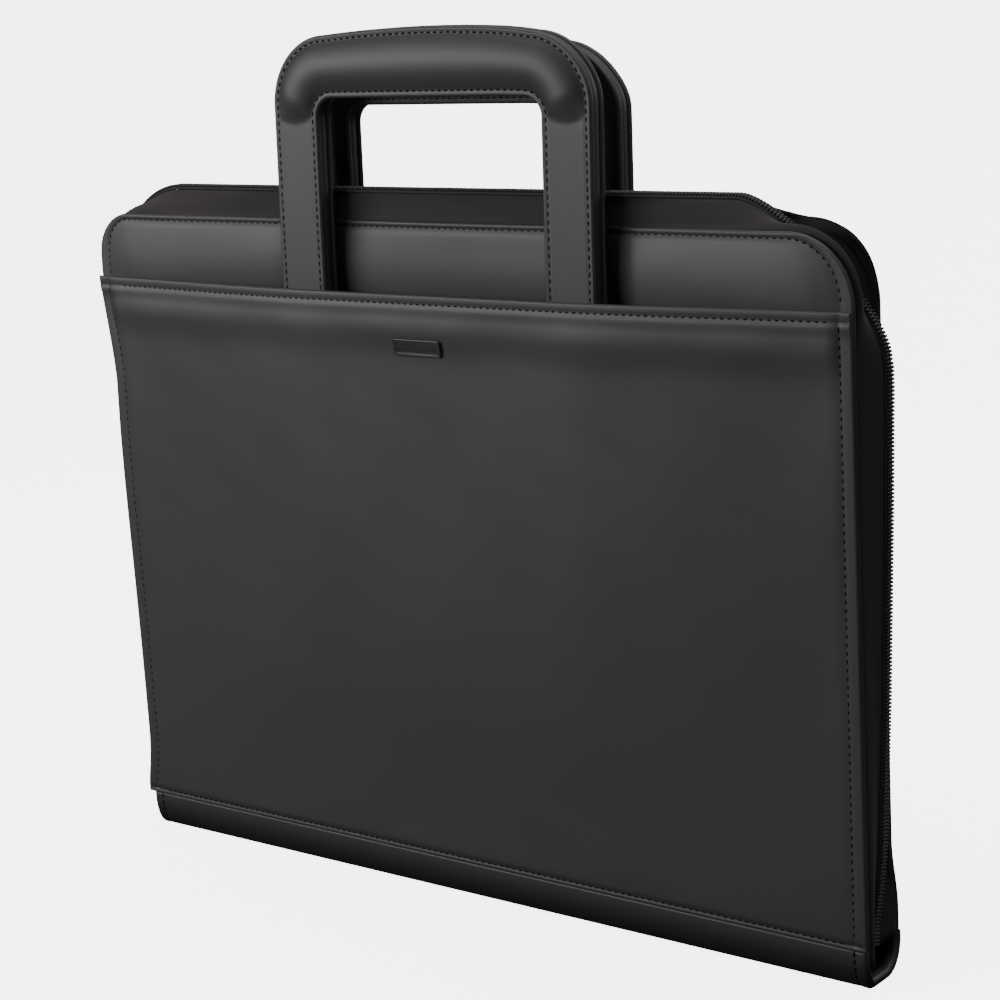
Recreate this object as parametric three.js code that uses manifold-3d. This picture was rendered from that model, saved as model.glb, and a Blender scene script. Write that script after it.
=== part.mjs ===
// A leather document case for letter-size paper, closed by a zip on three sides, with two flat
// stiff handles that slide up out of the pockets on its front and back. It stands on its spine.
// Millimetres, +X to the right, front towards -Y, +Z up. The origin is at the middle of the base.
import * as THREE from "three";
import { mergeVertices } from "three/addons/utils/BufferGeometryUtils.js";
import Module from "manifold-3d";

const wasm = await Module();
wasm.setup();

// Clearances and walls
const gap = 0.3;
const coverWall = 1.8;
const panelWall = 1.3;
const spineWall = 2.2;
const gussetWall = 0.9;

// The two covers
const caseWidth = 350;
const coverTop = 266;
const cornerRadius = 25;
const saggedCornerRadius = 17;
const backEdgeDepth = 8;
const backFlare = 34;
const pinchDepth = 4;
const pinchMargin = 3.5;
const pinchSideMargin = 9;
const pinchFootMargin = 8;
const edgeWaveReach = 4.4;
const topSag = 1.5;
const sagStart = 0.77;

// The spine along the bottom and the two pocket panels
const spineDepth = 24;
const spineCornerHeight = 12;
const spineStep = 1.2;
const standingWidth = 13;
const seamHeight = 15;
const lipHeight = 240;
const panelSlack = 1.6;

// The handles
const handleWidth = 149;
const handleTop = 336.9;
const handleArch = 2;
const handleOuterRadius = 26;
const handleInnerRadius = 7;
const legWidth = 22;
const gripHeight = 25.4;
const handleThickness = 8.6;
const hideWall = 2.5;
const coreInset = 0.7;
const padRise = 3.5;
const padFade = 7;
const padEnd = 298.5;
const legBottom = 150;
const padRoundness = 0.7;
const creaseLead = 1;
const backHandleDrop = 4;

// The zip and its gussets
const coilWidth = 4.4;
const coilHeight = 2;
const ridgeRise = 9.6;
const ridgeReach = 4.4;
const zipSideDepth = 2;
const gussetTuck = 2;
const gussetSeat = 0.9;
const seatShare = 0.9;
const gussetCrest = 1.2;
const cornerCrest = 4.2;
const tailHeight = 12;
const tailSlant = 4.5;
const tailLength = 26;

// The small metal pieces
const badgeWidth = 22.6;
const badgeHeight = 6.8;
const badgeThickness = 1;
const badgeCentre = { x: -7, z: 219.5 };
const sliderHeight = 45;
const sliderSize = { across: 7, along: 11, out: 2.4 };
const pullSize = { across: 4.6, along: 22, out: 1.2 };
const pullLap = 3;
const pullSink = 0.2;

const halfWidth = caseWidth / 2;
const halfSpine = spineDepth / 2;
const halfHandle = handleWidth / 2;
const bottomDepth = halfSpine - spineStep;
const lowestLeg = legBottom - (padEnd - lipHeight);

// The left edge of the front cover has sagged outwards. Places are shares of the cover's height,
// amounts and spreads are shares of the reach and of the height.
const edgeWave = [
  { at: 0.885, amount: 1.0, below: 0.1, above: 0.055 },
  { at: 0.62, amount: 0.26, below: 0.22, above: 0.14 },
  { at: 0.06, amount: 0.55, below: 0.05, above: 0.05 },
];

// How far the zip stands out past the covers' side edges, as shares of the ridge reach, and how
// high up, as shares of the cover's height.
const sideRidge = [
  { at: 0.08, out: -0.5 },
  { at: 0.18, out: 0.0 },
  { at: 0.39, out: 0.3 },
  { at: 0.65, out: 0.68 },
  { at: 0.8, out: 1.0 },
  { at: 1.0, out: 1.0 },
];

// The zip's way round the two top corners: a curve that leaves the top line and meets the side
// line at these distances from the corner, drawn out by the pulls. Shares of the corner radius.
const ridgeCorners = {
  left: { topStart: 1.66, topPull: 1.05, sideEnd: 1.66, sidePull: 1.05 },
  right: { topStart: 2.12, topPull: 0.8, sideEnd: 2.12, sidePull: 0.8 },
};

// The gusset's section from the cover to the coil's seat: share of the way out to the seat, share
// of the depth that is left to the seat, and share of the crest.
const gussetSection = [
  { out: 0, depth: 1, crest: 0 },
  { out: 0.04, depth: 0.97, crest: 0.8 },
  { out: 0.22, depth: 0.78, crest: 1 },
  { out: 0.6, depth: 0.38, crest: 0.6 },
  { out: 1, depth: 0, crest: 0 },
];

const leatherFinish = { color: 0x1b191c, roughness: 0.42, metalness: 0 };
const nylonFinish = { color: 0x1f1e19, roughness: 0.85, metalness: 0 };
const coreFinish = { color: 0x121112, roughness: 0.6, metalness: 0 };
const coilFinish = { color: 0x26241f, roughness: 0.5, metalness: 0 };
const metalFinish = { color: 0x2c2c30, roughness: 0.35, metalness: 1 };

function ease(from, to, value) {
  return THREE.MathUtils.smoothstep(value, from, to);
}

function steps(from, to, count) {
  return Array.from({ length: count + 1 }, (_, i) => from + ((to - from) * i) / count);
}

// Straight lines between the rows of a table.
function tableValue(table, column, at) {
  const above = table.findIndex((row) => row.at >= at);
  if (above === 0) return table[0][column];
  if (above < 0) return table[table.length - 1][column];
  const low = table[above - 1];
  const high = table[above];
  const share = (at - low.at) / (high.at - low.at);
  return THREE.MathUtils.lerp(low[column], high[column], share);
}

// A mesh facing outwards, whichever way its surface was walked.
function facingOut(points, faces) {
  let volume = 0;
  for (const [a, b, c] of faces) {
    volume += points[a].dot(points[b].clone().cross(points[c]));
  }
  const index = volume < 0 ? faces.map(([a, b, c]) => [a, c, b]) : faces;
  const geometry = new THREE.BufferGeometry().setFromPoints(points);
  geometry.setIndex(index.flat());
  geometry.computeVertexNormals();
  return geometry;
}

// A closed wall between two grids of points with the same rows and columns.
function wall(outer, inner) {
  const rows = outer.length;
  const columns = outer[0].length;
  const points = [...outer.flat(), ...inner.flat()];
  const faces = [];
  const at = (layer, row, column) => layer * rows * columns + row * columns + column;
  const quad = (a, b, c, d) => faces.push([a, b, c], [a, c, d]);
  for (let row = 0; row < rows - 1; row += 1) {
    for (let column = 0; column < columns - 1; column += 1) {
      quad(at(0, row, column), at(0, row, column + 1), at(0, row + 1, column + 1), at(0, row + 1, column));
      quad(at(1, row, column), at(1, row + 1, column), at(1, row + 1, column + 1), at(1, row, column + 1));
    }
    const last = columns - 1;
    quad(at(0, row, 0), at(0, row + 1, 0), at(1, row + 1, 0), at(1, row, 0));
    quad(at(0, row, last), at(1, row, last), at(1, row + 1, last), at(0, row + 1, last));
  }
  for (let column = 0; column < columns - 1; column += 1) {
    const last = rows - 1;
    quad(at(0, 0, column), at(1, 0, column), at(1, 0, column + 1), at(0, 0, column + 1));
    quad(at(0, last, column), at(0, last, column + 1), at(1, last, column + 1), at(1, last, column));
  }
  return facingOut(points, faces);
}

function mesh(name, geometry, finish) {
  const piece = new THREE.Mesh(geometry, new THREE.MeshStandardMaterial(finish));
  piece.name = name;
  return piece;
}

// Covers: how far each face lies from the middle plane. side is -1 at the front and 1 at the back.

// 1 where the handles draw the covers together, 0 along the side edges.
function pinchAcross(x) {
  return 1 - ease(halfHandle + pinchMargin, halfWidth - pinchSideMargin, Math.abs(x));
}

// 0 at the spine, 1 above the lowest place that the handles' legs reach.
function pinchUp(z) {
  return ease(seamHeight + pinchFootMargin, lowestLeg - pinchMargin, z);
}

function edgeDepth(side, z) {
  if (side < 0) return bottomDepth;
  return THREE.MathUtils.lerp(bottomDepth, backEdgeDepth, ease(seamHeight, seamHeight + backFlare, z));
}

function coverFace(side, x, z) {
  const edge = edgeDepth(side, z);
  return edge + (pinchDepth - edge) * pinchAcross(x) * pinchUp(z);
}

// A pocket panel lies on the cover along its sewn edges and over the handle between them.
function panelInside(side, x, z) {
  const edge = edgeDepth(side, z) + gap;
  const overHandle = pinchDepth + gap + handleThickness + gap;
  const slack = panelSlack * ease(seamHeight, lipHeight / 2, z);
  return edge + (overHandle + slack - edge) * pinchAcross(x) * pinchUp(z);
}

function waveOut(z) {
  const share = z / coverTop;
  let out = 0;
  for (const bulge of edgeWave) {
    const spread = share < bulge.at ? bulge.below : bulge.above;
    out = Math.max(out, bulge.amount * Math.exp(-(((share - bulge.at) / spread) ** 2)));
  }
  return edgeWaveReach * out;
}

// How far a top corner is drawn in at a height.
function cornerInset(radius, z) {
  const into = z - (coverTop - radius);
  if (into <= 0) return 0;
  return radius - Math.sqrt(Math.max(0, radius ** 2 - into ** 2));
}

// Half the cover's width at a height. The front cover's left edge and corner have sagged.
function edgeX(x, side, z) {
  const sagged = side < 0 && x < 0;
  const radius = sagged ? saggedCornerRadius : cornerRadius;
  return halfWidth + (sagged ? waveOut(z) : 0) - cornerInset(radius, z);
}

// How far the upper edges have dropped between the side edges.
function sag(x, z) {
  return topSag * (1 - (x / halfWidth) ** 2) * ease(sagStart * coverTop, coverTop, z);
}

// Shares across a panel, closer together where the depth changes most.
const rightShares = [0.15, 0.44, 0.52, 0.6, 0.68, 0.76, 0.84, 0.92, 1];
const acrossShares = [...rightShares.map((share) => -share).reverse(), ...rightShares];

function panelGrid(side, heights, depthAt) {
  return heights.map((z) =>
    acrossShares.map((share) => {
      const x = share * edgeX(share, side, z);
      return new THREE.Vector3(x, side * depthAt(x, z), z - sag(x, z));
    }),
  );
}

function coverHeights() {
  const low = steps(seamHeight, lowestLeg, 7);
  const middle = steps(legBottom, coverTop - cornerRadius, 3);
  const arc = [0.2, 0.38, 0.55, 0.7, 0.83, 0.93, 1];
  const round = arc.map((share) => coverTop - cornerRadius + cornerRadius * Math.sin((share * Math.PI) / 2));
  return [...low, ...middle, ...round];
}

function cover(side) {
  const heights = coverHeights();
  const outer = panelGrid(side, heights, (x, z) => coverFace(side, x, z));
  const inner = panelGrid(side, heights, (x, z) => coverFace(side, x, z) - coverWall);
  return wall(outer, inner);
}

function pocketPanel(side) {
  const heights = [...steps(seamHeight, lowestLeg, 7), ...steps(legBottom, lipHeight, 3)];
  const outer = panelGrid(side, heights, (x, z) => panelInside(side, x, z) + panelWall);
  const inner = panelGrid(side, heights, (x, z) => panelInside(side, x, z));
  return wall(outer, inner);
}

// The spine is a trough. Its section is a flat strip that the case stands on, a quarter ellipse
// up each side and a short straight stretch to the seam.
function spineSection(inward) {
  const rise = spineCornerHeight - inward;
  const run = (spineDepth - standingWidth) / 2;
  const side = steps(0, Math.PI / 2, 6).map((turn) => ({
    depth: standingWidth / 2 + (run - inward) * Math.sin(turn),
    height: inward + rise * (1 - Math.cos(turn)),
  }));
  side.push({ depth: halfSpine - inward, height: seamHeight - gap });
  const front = [...side].reverse().map((point) => [-point.depth, point.height]);
  return [...front, ...side.map((point) => [point.depth, point.height])];
}

function spine() {
  const grid = (inward) =>
    [-halfWidth, 0, halfWidth].map((x) => spineSection(inward).map(([y, z]) => new THREE.Vector3(x, y, z)));
  return wall(grid(0), grid(spineWall));
}

// The outline that the gussets follow, from the left tail up, over the top and down the right.
// Each station has a point on the covers' edge, the way out from it, and the zip's ridge point.
// Near the tails the front gusset reaches lower and the back one ends higher.
function sideStation(side, hand, z) {
  const reach = ridgeReach * tableValue(sideRidge, "out", z / coverTop);
  const tail = 1 - ease(tailHeight, tailHeight + tailLength, z);
  return {
    edge: new THREE.Vector2(hand * halfWidth, z + side * tailSlant * tail),
    out: new THREE.Vector2(hand, 0),
    ridge: new THREE.Vector2(hand * (halfWidth + reach), z),
    zipY: zipSideDepth * (1 - tail),
    crest: gussetCrest,
  };
}

function cornerStations(hand) {
  const shape = hand < 0 ? ridgeCorners.left : ridgeCorners.right;
  const top = coverTop + ridgeRise;
  const sideX = halfWidth + ridgeReach;
  const start = new THREE.Vector2(sideX - shape.topStart * cornerRadius, top);
  const end = new THREE.Vector2(sideX, top - shape.sideEnd * cornerRadius);
  const curve = new THREE.CubicBezierCurve(
    start,
    new THREE.Vector2(start.x + shape.topPull * cornerRadius, top),
    new THREE.Vector2(sideX, end.y + shape.sidePull * cornerRadius),
    end,
  );
  const edge = new THREE.Path();
  edge.moveTo(start.x, coverTop);
  edge.lineTo(halfWidth - cornerRadius, coverTop);
  edge.absarc(halfWidth - cornerRadius, coverTop - cornerRadius, cornerRadius, Math.PI / 2, 0, true);
  edge.lineTo(halfWidth, end.y);
  return steps(0, 1, 11).map((share) => {
    const point = edge.getPointAt(share);
    const tangent = edge.getTangentAt(share);
    const ridge = curve.getPointAt(share);
    return {
      edge: new THREE.Vector2(hand * point.x, point.y),
      out: new THREE.Vector2(-hand * tangent.y, tangent.x),
      ridge: new THREE.Vector2(hand * ridge.x, ridge.y),
      zipY: zipSideDepth * ease(0, 1, share),
      crest: THREE.MathUtils.lerp(gussetCrest, cornerCrest, Math.sin(Math.PI * share) ** 2),
    };
  });
}

function topStations() {
  const left = -(halfWidth + ridgeReach - ridgeCorners.left.topStart * cornerRadius);
  const right = halfWidth + ridgeReach - ridgeCorners.right.topStart * cornerRadius;
  return steps(left, right, 8).slice(1, -1).map((x) => ({
    edge: new THREE.Vector2(x, coverTop),
    out: new THREE.Vector2(0, 1),
    ridge: new THREE.Vector2(x, coverTop + ridgeRise),
    zipY: 0,
    crest: gussetCrest,
  }));
}

function perimeter(side) {
  const sideHeights = (hand) => {
    const corner = hand < 0 ? ridgeCorners.left : ridgeCorners.right;
    const end = coverTop + ridgeRise - corner.sideEnd * cornerRadius;
    const tailEnd = tailHeight + tailLength;
    const settled = seamHeight + backFlare;
    return [
      ...steps(tailHeight, tailEnd, 3),
      ...steps(tailEnd, settled, 3).slice(1),
      ...steps(settled, end, 4).slice(1, -1),
    ];
  };
  const left = sideHeights(-1).map((z) => sideStation(side, -1, z));
  const right = sideHeights(1).map((z) => sideStation(side, 1, z)).reverse();
  const stations = [...left, ...cornerStations(-1).reverse(), ...topStations(), ...cornerStations(1), ...right];
  for (const station of stations) {
    const reach = station.ridge.clone().sub(station.edge);
    station.rise = reach.dot(station.out);
    station.drift = reach.sub(station.out.clone().multiplyScalar(station.rise));
  }
  return stations;
}

// A gusset's section at a station, as distances out from the cover's edge and from the middle
// plane, and its inner face one wall thickness in.
function gussetFaces(side, station) {
  const rootIn = station.edge.clone().sub(station.out.clone().multiplyScalar(gussetTuck));
  const rootDepth = coverFace(side, rootIn.x, rootIn.y) - coverWall - gussetSeat;
  const seatOut = station.rise - coilHeight - gap;
  const middle = side * station.zipY;
  const seatDepth = middle + Math.min(coilWidth / 2 + gap, seatShare * (rootDepth - middle));
  const outer = gussetSection.map((row) => ({
    out: THREE.MathUtils.lerp(-gussetTuck, seatOut, row.out) + row.crest * station.crest,
    depth: THREE.MathUtils.lerp(seatDepth, rootDepth, row.depth),
    drift: row.out,
  }));
  const last = outer[outer.length - 1];
  outer.push({ out: last.out, depth: middle + gap / 2, drift: 1 });
  const inner = outer.map((point, i) => {
    const before = outer[Math.max(0, i - 1)];
    const after = outer[Math.min(outer.length - 1, i + 1)];
    const along = new THREE.Vector2(after.out - before.out, after.depth - before.depth).normalize();
    return {
      out: point.out + along.y * gussetWall,
      depth: Math.max(middle + gap / 2, point.depth - along.x * gussetWall),
      drift: point.drift,
    };
  });
  inner[inner.length - 1].out = last.out - gussetWall;
  inner[inner.length - 1].depth = last.depth;
  return { outer, inner };
}

function placed(side, station, point) {
  const x = station.edge.x + station.out.x * point.out + station.drift.x * point.drift;
  const z = station.edge.y + station.out.y * point.out + station.drift.y * point.drift;
  return new THREE.Vector3(x, side * point.depth, z);
}

function gusset(side) {
  const outer = [];
  const inner = [];
  for (const station of perimeter(side)) {
    const faces = gussetFaces(side, station);
    outer.push(faces.outer.map((point) => placed(side, station, point)));
    inner.push(faces.inner.map((point) => placed(side, station, point)));
  }
  return wall(outer, inner);
}

// The zip's coil, laid along the ridge over the meeting edges of the gussets.
function zipCoil() {
  const layer = (below) =>
    perimeter(0).map((station) =>
      [-1, 1].map((hand) => {
        const point = { out: station.rise - below, depth: station.zipY + (hand * coilWidth) / 2, drift: 1 };
        return placed(1, station, point);
      }),
    );
  return wall(layer(0), layer(coilHeight));
}

// A handle is a U in the XZ plane: two straight legs, two round corners and a grip that arches a
// little. Each station has a point on the outer edge and one on the inner edge.
function handleStations() {
  const outerX = halfHandle - handleOuterRadius;
  const outerZ = handleTop - handleArch - handleOuterRadius;
  const innerX = halfHandle - legWidth - handleInnerRadius;
  const innerZ = handleTop - gripHeight - handleInnerRadius;
  const leg = [legBottom, lipHeight, padEnd - creaseLead, padEnd + padFade / 2, padEnd + padFade];
  const half = leg.map((z) => ({ outer: [halfHandle, z], inner: [halfHandle - legWidth, Math.min(z, innerZ)] }));
  for (const turn of steps(0, Math.PI / 2, 7).slice(1)) {
    half.push({
      outer: [outerX + handleOuterRadius * Math.cos(turn), outerZ + handleOuterRadius * Math.sin(turn)],
      inner: [innerX + handleInnerRadius * Math.cos(turn), innerZ + handleInnerRadius * Math.sin(turn)],
    });
  }
  for (const share of [0.66, 0.33]) {
    const arch = handleArch * (1 - share ** 2);
    half.push({
      outer: [outerX * share, handleTop - handleArch + arch],
      inner: [innerX * share, handleTop - gripHeight],
    });
  }
  const middle = { outer: [0, handleTop], inner: [0, handleTop - gripHeight] };
  const mirrored = [...half].reverse().map((row) => ({
    outer: [-row.outer[0], row.outer[1]],
    inner: [-row.inner[0], row.inner[1]],
  }));
  return [...half, middle, ...mirrored];
}

// One layer of a handle. faceDepth gives how far a face stands out for a share across the strap
// and a share of padding.
function handleLayer(side, inset, shares, outerDepth, innerDepth) {
  const drop = side > 0 ? backHandleDrop : 0;
  const grid = (depthAt) =>
    handleStations().map(({ outer, inner }) => {
      const from = new THREE.Vector2(...outer);
      const to = new THREE.Vector2(...inner);
      const cut = inset / from.distanceTo(to);
      const pad = ease(padEnd, padEnd + padFade, Math.max(outer[1], inner[1]));
      return shares.map((share) => {
        const place = from.clone().lerp(to, cut + (1 - 2 * cut) * share);
        return new THREE.Vector3(place.x, side * depthAt(share, pad), place.y - drop);
      });
    });
  return wall(grid(outerDepth), grid(innerDepth));
}

function handle(side, name) {
  const group = new THREE.Group();
  const back = pinchDepth + gap;
  const front = back + handleThickness;
  const padShares = [0, 0.12, 0.28, 0.5, 0.72, 0.88, 1];
  const flatShares = [0, 1];
  const padded = (share, pad) => front + padRise * pad * Math.sin(Math.PI * share) ** padRoundness;
  const face = handleLayer(side, 0, padShares, padded, () => front - hideWall);
  const core = handleLayer(side, coreInset, flatShares, () => front - hideWall - gap, () => back + hideWall + gap);
  const lining = handleLayer(side, 0, flatShares, () => back + hideWall, () => back);
  group.add(mesh(`${name}_face`, face, leatherFinish));
  group.add(mesh(`${name}_core`, core, coreFinish));
  group.add(mesh(`${name}_lining`, lining, leatherFinish));
  return group;
}

// A blank plate on the front pocket.
function badge() {
  const depth = panelInside(-1, badgeCentre.x, badgeCentre.z) + panelWall;
  const plate = mesh("badge_plate", new THREE.BoxGeometry(badgeWidth, badgeThickness, badgeHeight), metalFinish);
  plate.position.set(badgeCentre.x, -(depth + gap + badgeThickness / 2), badgeCentre.z);
  return plate;
}

function solid(geometry) {
  geometry.deleteAttribute("normal");
  geometry.deleteAttribute("uv");
  const merged = mergeVertices(geometry);
  const vertProperties = new Float32Array(merged.getAttribute("position").array);
  const triVerts = new Uint32Array(merged.index.array);
  return new wasm.Manifold(new wasm.Mesh({ numProp: 3, vertProperties, triVerts }));
}

function geometryOf(manifold) {
  const { vertProperties, triVerts } = manifold.getMesh();
  const geometry = new THREE.BufferGeometry();
  geometry.setAttribute("position", new THREE.BufferAttribute(new Float32Array(vertProperties), 3));
  geometry.setIndex([...triVerts]);
  geometry.computeVertexNormals();
  return geometry;
}

// The zip's slider, parked low on the left, with its pull hanging from it.
function zipSlider() {
  const reach = ridgeReach * tableValue(sideRidge, "out", sliderHeight / coverTop);
  const seat = halfWidth + reach + gap;
  const body = new THREE.BoxGeometry(sliderSize.out, sliderSize.across, sliderSize.along);
  body.translate(seat + sliderSize.out / 2, 0, sliderHeight);
  const pull = new THREE.BoxGeometry(pullSize.out, pullSize.across, pullSize.along);
  const pullOut = seat + sliderSize.out + pullSize.out / 2 - pullSink;
  pull.translate(pullOut, 0, sliderHeight - pullSize.along / 2 + pullLap);
  const joined = geometryOf(solid(body).add(solid(pull)));
  joined.rotateZ(Math.PI);
  joined.translate(0, zipSideDepth, 0);
  return mesh("zip_slider", joined, metalFinish);
}

const documentCase = new THREE.Group();
documentCase.add(
  mesh("front_cover", cover(-1), leatherFinish),
  mesh("back_cover", cover(1), leatherFinish),
  mesh("front_pocket", pocketPanel(-1), leatherFinish),
  mesh("back_pocket", pocketPanel(1), leatherFinish),
  mesh("spine", spine(), leatherFinish),
  mesh("front_gusset", gusset(-1), nylonFinish),
  mesh("back_gusset", gusset(1), nylonFinish),
  mesh("zip_coil", zipCoil(), coilFinish),
  zipSlider(),
  badge(),
  handle(-1, "front_handle"),
  handle(1, "back_handle"),
);

export default documentCase;
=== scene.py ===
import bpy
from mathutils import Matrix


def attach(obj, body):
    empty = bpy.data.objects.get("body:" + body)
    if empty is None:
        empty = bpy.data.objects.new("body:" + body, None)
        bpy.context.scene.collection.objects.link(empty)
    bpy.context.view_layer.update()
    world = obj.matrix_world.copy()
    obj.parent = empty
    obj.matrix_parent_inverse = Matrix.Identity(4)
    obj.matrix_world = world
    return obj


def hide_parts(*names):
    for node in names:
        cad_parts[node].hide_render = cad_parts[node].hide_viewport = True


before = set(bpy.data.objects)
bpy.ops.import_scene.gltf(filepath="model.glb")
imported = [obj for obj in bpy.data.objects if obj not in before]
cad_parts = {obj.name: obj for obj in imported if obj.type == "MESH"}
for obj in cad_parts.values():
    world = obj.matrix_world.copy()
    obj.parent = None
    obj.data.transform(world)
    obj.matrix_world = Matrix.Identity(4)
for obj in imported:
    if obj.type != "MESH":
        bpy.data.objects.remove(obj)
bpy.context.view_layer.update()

from types import SimpleNamespace

import bpy
import numpy as np
from bpy.props import FloatProperty, FloatVectorProperty, PointerProperty
from bpy.types import Operator, Panel, PropertyGroup
from mathutils import Matrix

bl_info = {
    "name": "Leather document case",
    "version": (1, 0, 0),
    "blender": (4, 5, 0),
    "location": "View3D > Sidebar > Document case",
    "description": "Dresses the packed document case in leather, nylon, thread and a coil zip",
    "category": "Add Mesh",
}

MM = 0.001

# Lengths below are in millimetres, as in the part's source. FRONT and BACK are the two sides.
FRONT = -1
BACK = 1
GAP = 0.3
COVER_WALL = 1.8
PANEL_WALL = 1.3
SPINE_WALL = 2.2
GUSSET_WALL = 0.9
CORNER_RADIUS = 25.0
SAGGED_CORNER = 15.0
BACK_EDGE_DEPTH = 8.0
BACK_FLARE = (9.0, 36.0)
PINCH_DEPTH = 4.0
PINCH_MARGIN = 3.5
PINCH_SIDE_MARGIN = 9.0
PINCH_FOOT_MARGIN = 8.0
EDGE_WAVE_REACH = 5.2
TOP_SAG = 1.5
SAG_START = 0.77
HALF_SPINE = {FRONT: 12.4, BACK: 13.4}
SPINE_CORNER = 13.5
SPINE_STEP = 1.6
STANDING_REACH = {FRONT: 6.5, BACK: 3.5}
PANEL_SLACK = 1.6
PAD_END = 298.5
PAD_FADE = 7.0
PAD_SLOPE = 20.0
LEG_BOTTOM = 150.0
LEG_WIDTH = 22.0
GRIP_HEIGHT = 25.4
HANDLE_ARCH = 2.0
HANDLE_OUTER_RADIUS = 26.0
HANDLE_INNER_RADIUS = 7.0
HANDLE_THICKNESS = 8.6
HIDE_WALL = 2.5
PAD_RISE = 3.1
BACK_HANDLE_DROP = 4.0
HANDLE_DROOP = {FRONT: 1.9, BACK: 3.8}
COIL_WIDTH = 4.4
COIL_HEIGHT = 2.0
RIDGE_RISE = 11.4
RIDGE_REACH = 6.6
ZIP_SIDE_DEPTH = 2.0
GUSSET_TUCK = 2.0
GUSSET_SEAT = 0.9
SEAT_SHARE = 0.9
GUSSET_CREST = 1.2
TAIL_HEIGHT = 12.0
TAIL_SLANT = 4.5
TAIL_LENGTH = 26.0

# Bulges of the front cover's left edge: place and spreads as shares of the cover's height.
EDGE_WAVE = ((0.915, 1.0, 0.12, 0.1), (0.62, 0.26, 0.22, 0.14), (0.06, 0.55, 0.05, 0.05))

# The zip's reach past the side edges: shares of the cover's height, shares of the ridge reach.
SIDE_RIDGE = ((0.08, 0.18, 0.39, 0.65, 0.8, 1.0), (-0.3, 0.12, 0.55, 0.92, 1.08, 1.0))

# The zip's way round a top corner, as shares of the corner radius: start, pull, end, pull.
RIDGE_CORNERS = {-1: (1.7, 0.9, 1.8, 0.95), 1: (2.25, 0.6, 2.2, 0.7)}

# How far a gusset's crest stands outside its cover's edge at shares of the way round a corner, from
# the top to the side, for the left and the right corner.
CREST_SHARES = (0.0, 0.12, 0.3, 0.5, 0.65, 0.8, 1.0)
CREST_STAND = {
    FRONT: ((1.6, 3.0, 4.4, 6.2, 6.0, 3.6, 0.6), (1.6, 2.4, 2.4, 2.4, 2.2, 1.6, 0.6)),
    BACK: ((1.6, 3.0, 3.4, 3.3, 2.2, 1.2, 0.6), (1.6, 6.8, 3.8, 3.1, 1.5, 0.6, 0.6)),
}

# A gusset's section: share of the way out to the zip, share of the depth, share of the crest.
GUSSET_SECTION = ((0, 1, 0), (0.04, 0.97, 0.8), (0.22, 0.78, 1), (0.6, 0.38, 0.6), (1, 0, 0))

# Stitch rows, as distances from the edge they follow.
TOP_ROW = 2.4
LIP_ROW = 3.6
SIDE_ROW = 5.0
SEAM_ROW = 1.9
HANDLE_ROW = 2.3

# The plate's width, height and centre, its corner radius and thickness; the slider's height.
PLATE = (22.6, 6.8, -7.0, 219.5)
PLATE_CORNER = 1.4
PLATE_WALL = 1.0
SLIDER_HEIGHT = 45.0

# Half a stitch's length, width and height.
STITCH = (1.2, 0.42, 0.36)

# How much narrower than its cover a pocket panel is at each side.
POCKET_NARROW = {FRONT: 0.0, BACK: 2.0}

# How deep a stitch sits and how deep its row is pressed in; the step of the grids round the case.
STITCH_SINK = 0.06
PRESS_DEPTH = 0.42
WAY_STEP = 2.2

# A distance at which no seam is felt, and the lengths of the waves of the soft unevenness.
FAR = 99.0
RIPPLE_LENGTHS = (140, 88, 57, 36, 23)

# The floor's half width, its lines, and how high it rises at the back, and from where to where.
FLOOR_REACH = 3000
FLOOR_LINES = 40
FLOOR_RISE = 900
FLOOR_SLOPE = (1100, 2900)

# The lights, in metres and watts: name, place, point aimed at, size, power.
LIGHTS = (
    ("key", (-0.54, -0.72, 0.46), (0, 0, 0.25), (0.8, 0.3), 9),
    ("top", (0, 0.3, 2.3), (0, 0.3, 0), (3.2, 3.2), 80),
    ("bounce", (-0.12, -0.2, 0.003), (-0.12, -0.2, 1), (0.9, 0.34), 0.5),
    ("right", (1.6, -0.3, 0.7), (0, 0, 0.15), (0.5, 0.9), 4),
    ("rear", (0.7, 1.5, 0.7), (0, 0, 0.2), (0.9, 0.7), 6),
)

# The camera's yaw, pitch and roll in radians, its place in metres and its lens in millimetres.
CAMERA_TURN = (0.665858541, 0.218752716, -0.0559398780)
CAMERA_PLACE = (0.568614, -0.704902, 0.358941)
CAMERA_LENS = 87.44

# Distances from a rim at which a skin's grid has its first lines.
RIM = np.array([0, 0.08, 0.25, 0.5, 0.8, 1.2, 1.7, 2.3, 3.0, 3.8, 4.7, 5.7, 6.8])


def length(name, description, default):
    """A length in the panel."""
    return FloatProperty(name=name, description=description, default=default, unit="LENGTH")


def tint(name, description, default):
    """A colour in the panel."""
    return FloatVectorProperty(name=name, description=description, subtype="COLOR", default=default)


class CaseSizes(PropertyGroup):
    """The sizes that the pieces share."""

    width: length("Width", "Width of the covers", 0.350)
    top: length("Cover top", "Height of the covers' top edge", 0.266)
    lip: length("Pocket lip", "Height of the pockets' lips", 0.240)
    seam: length("Seam", "Height of the seam above the spine", 0.015)
    handle_width: length("Handle width", "Width over the handle's legs", 0.149)
    handle_top: length("Handle top", "Height of the front handle", 0.3369)
    stitch: length("Stitch pitch", "From stitch to stitch", 0.003)
    tooth: length("Tooth pitch", "From tooth to tooth", 0.00135)


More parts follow.
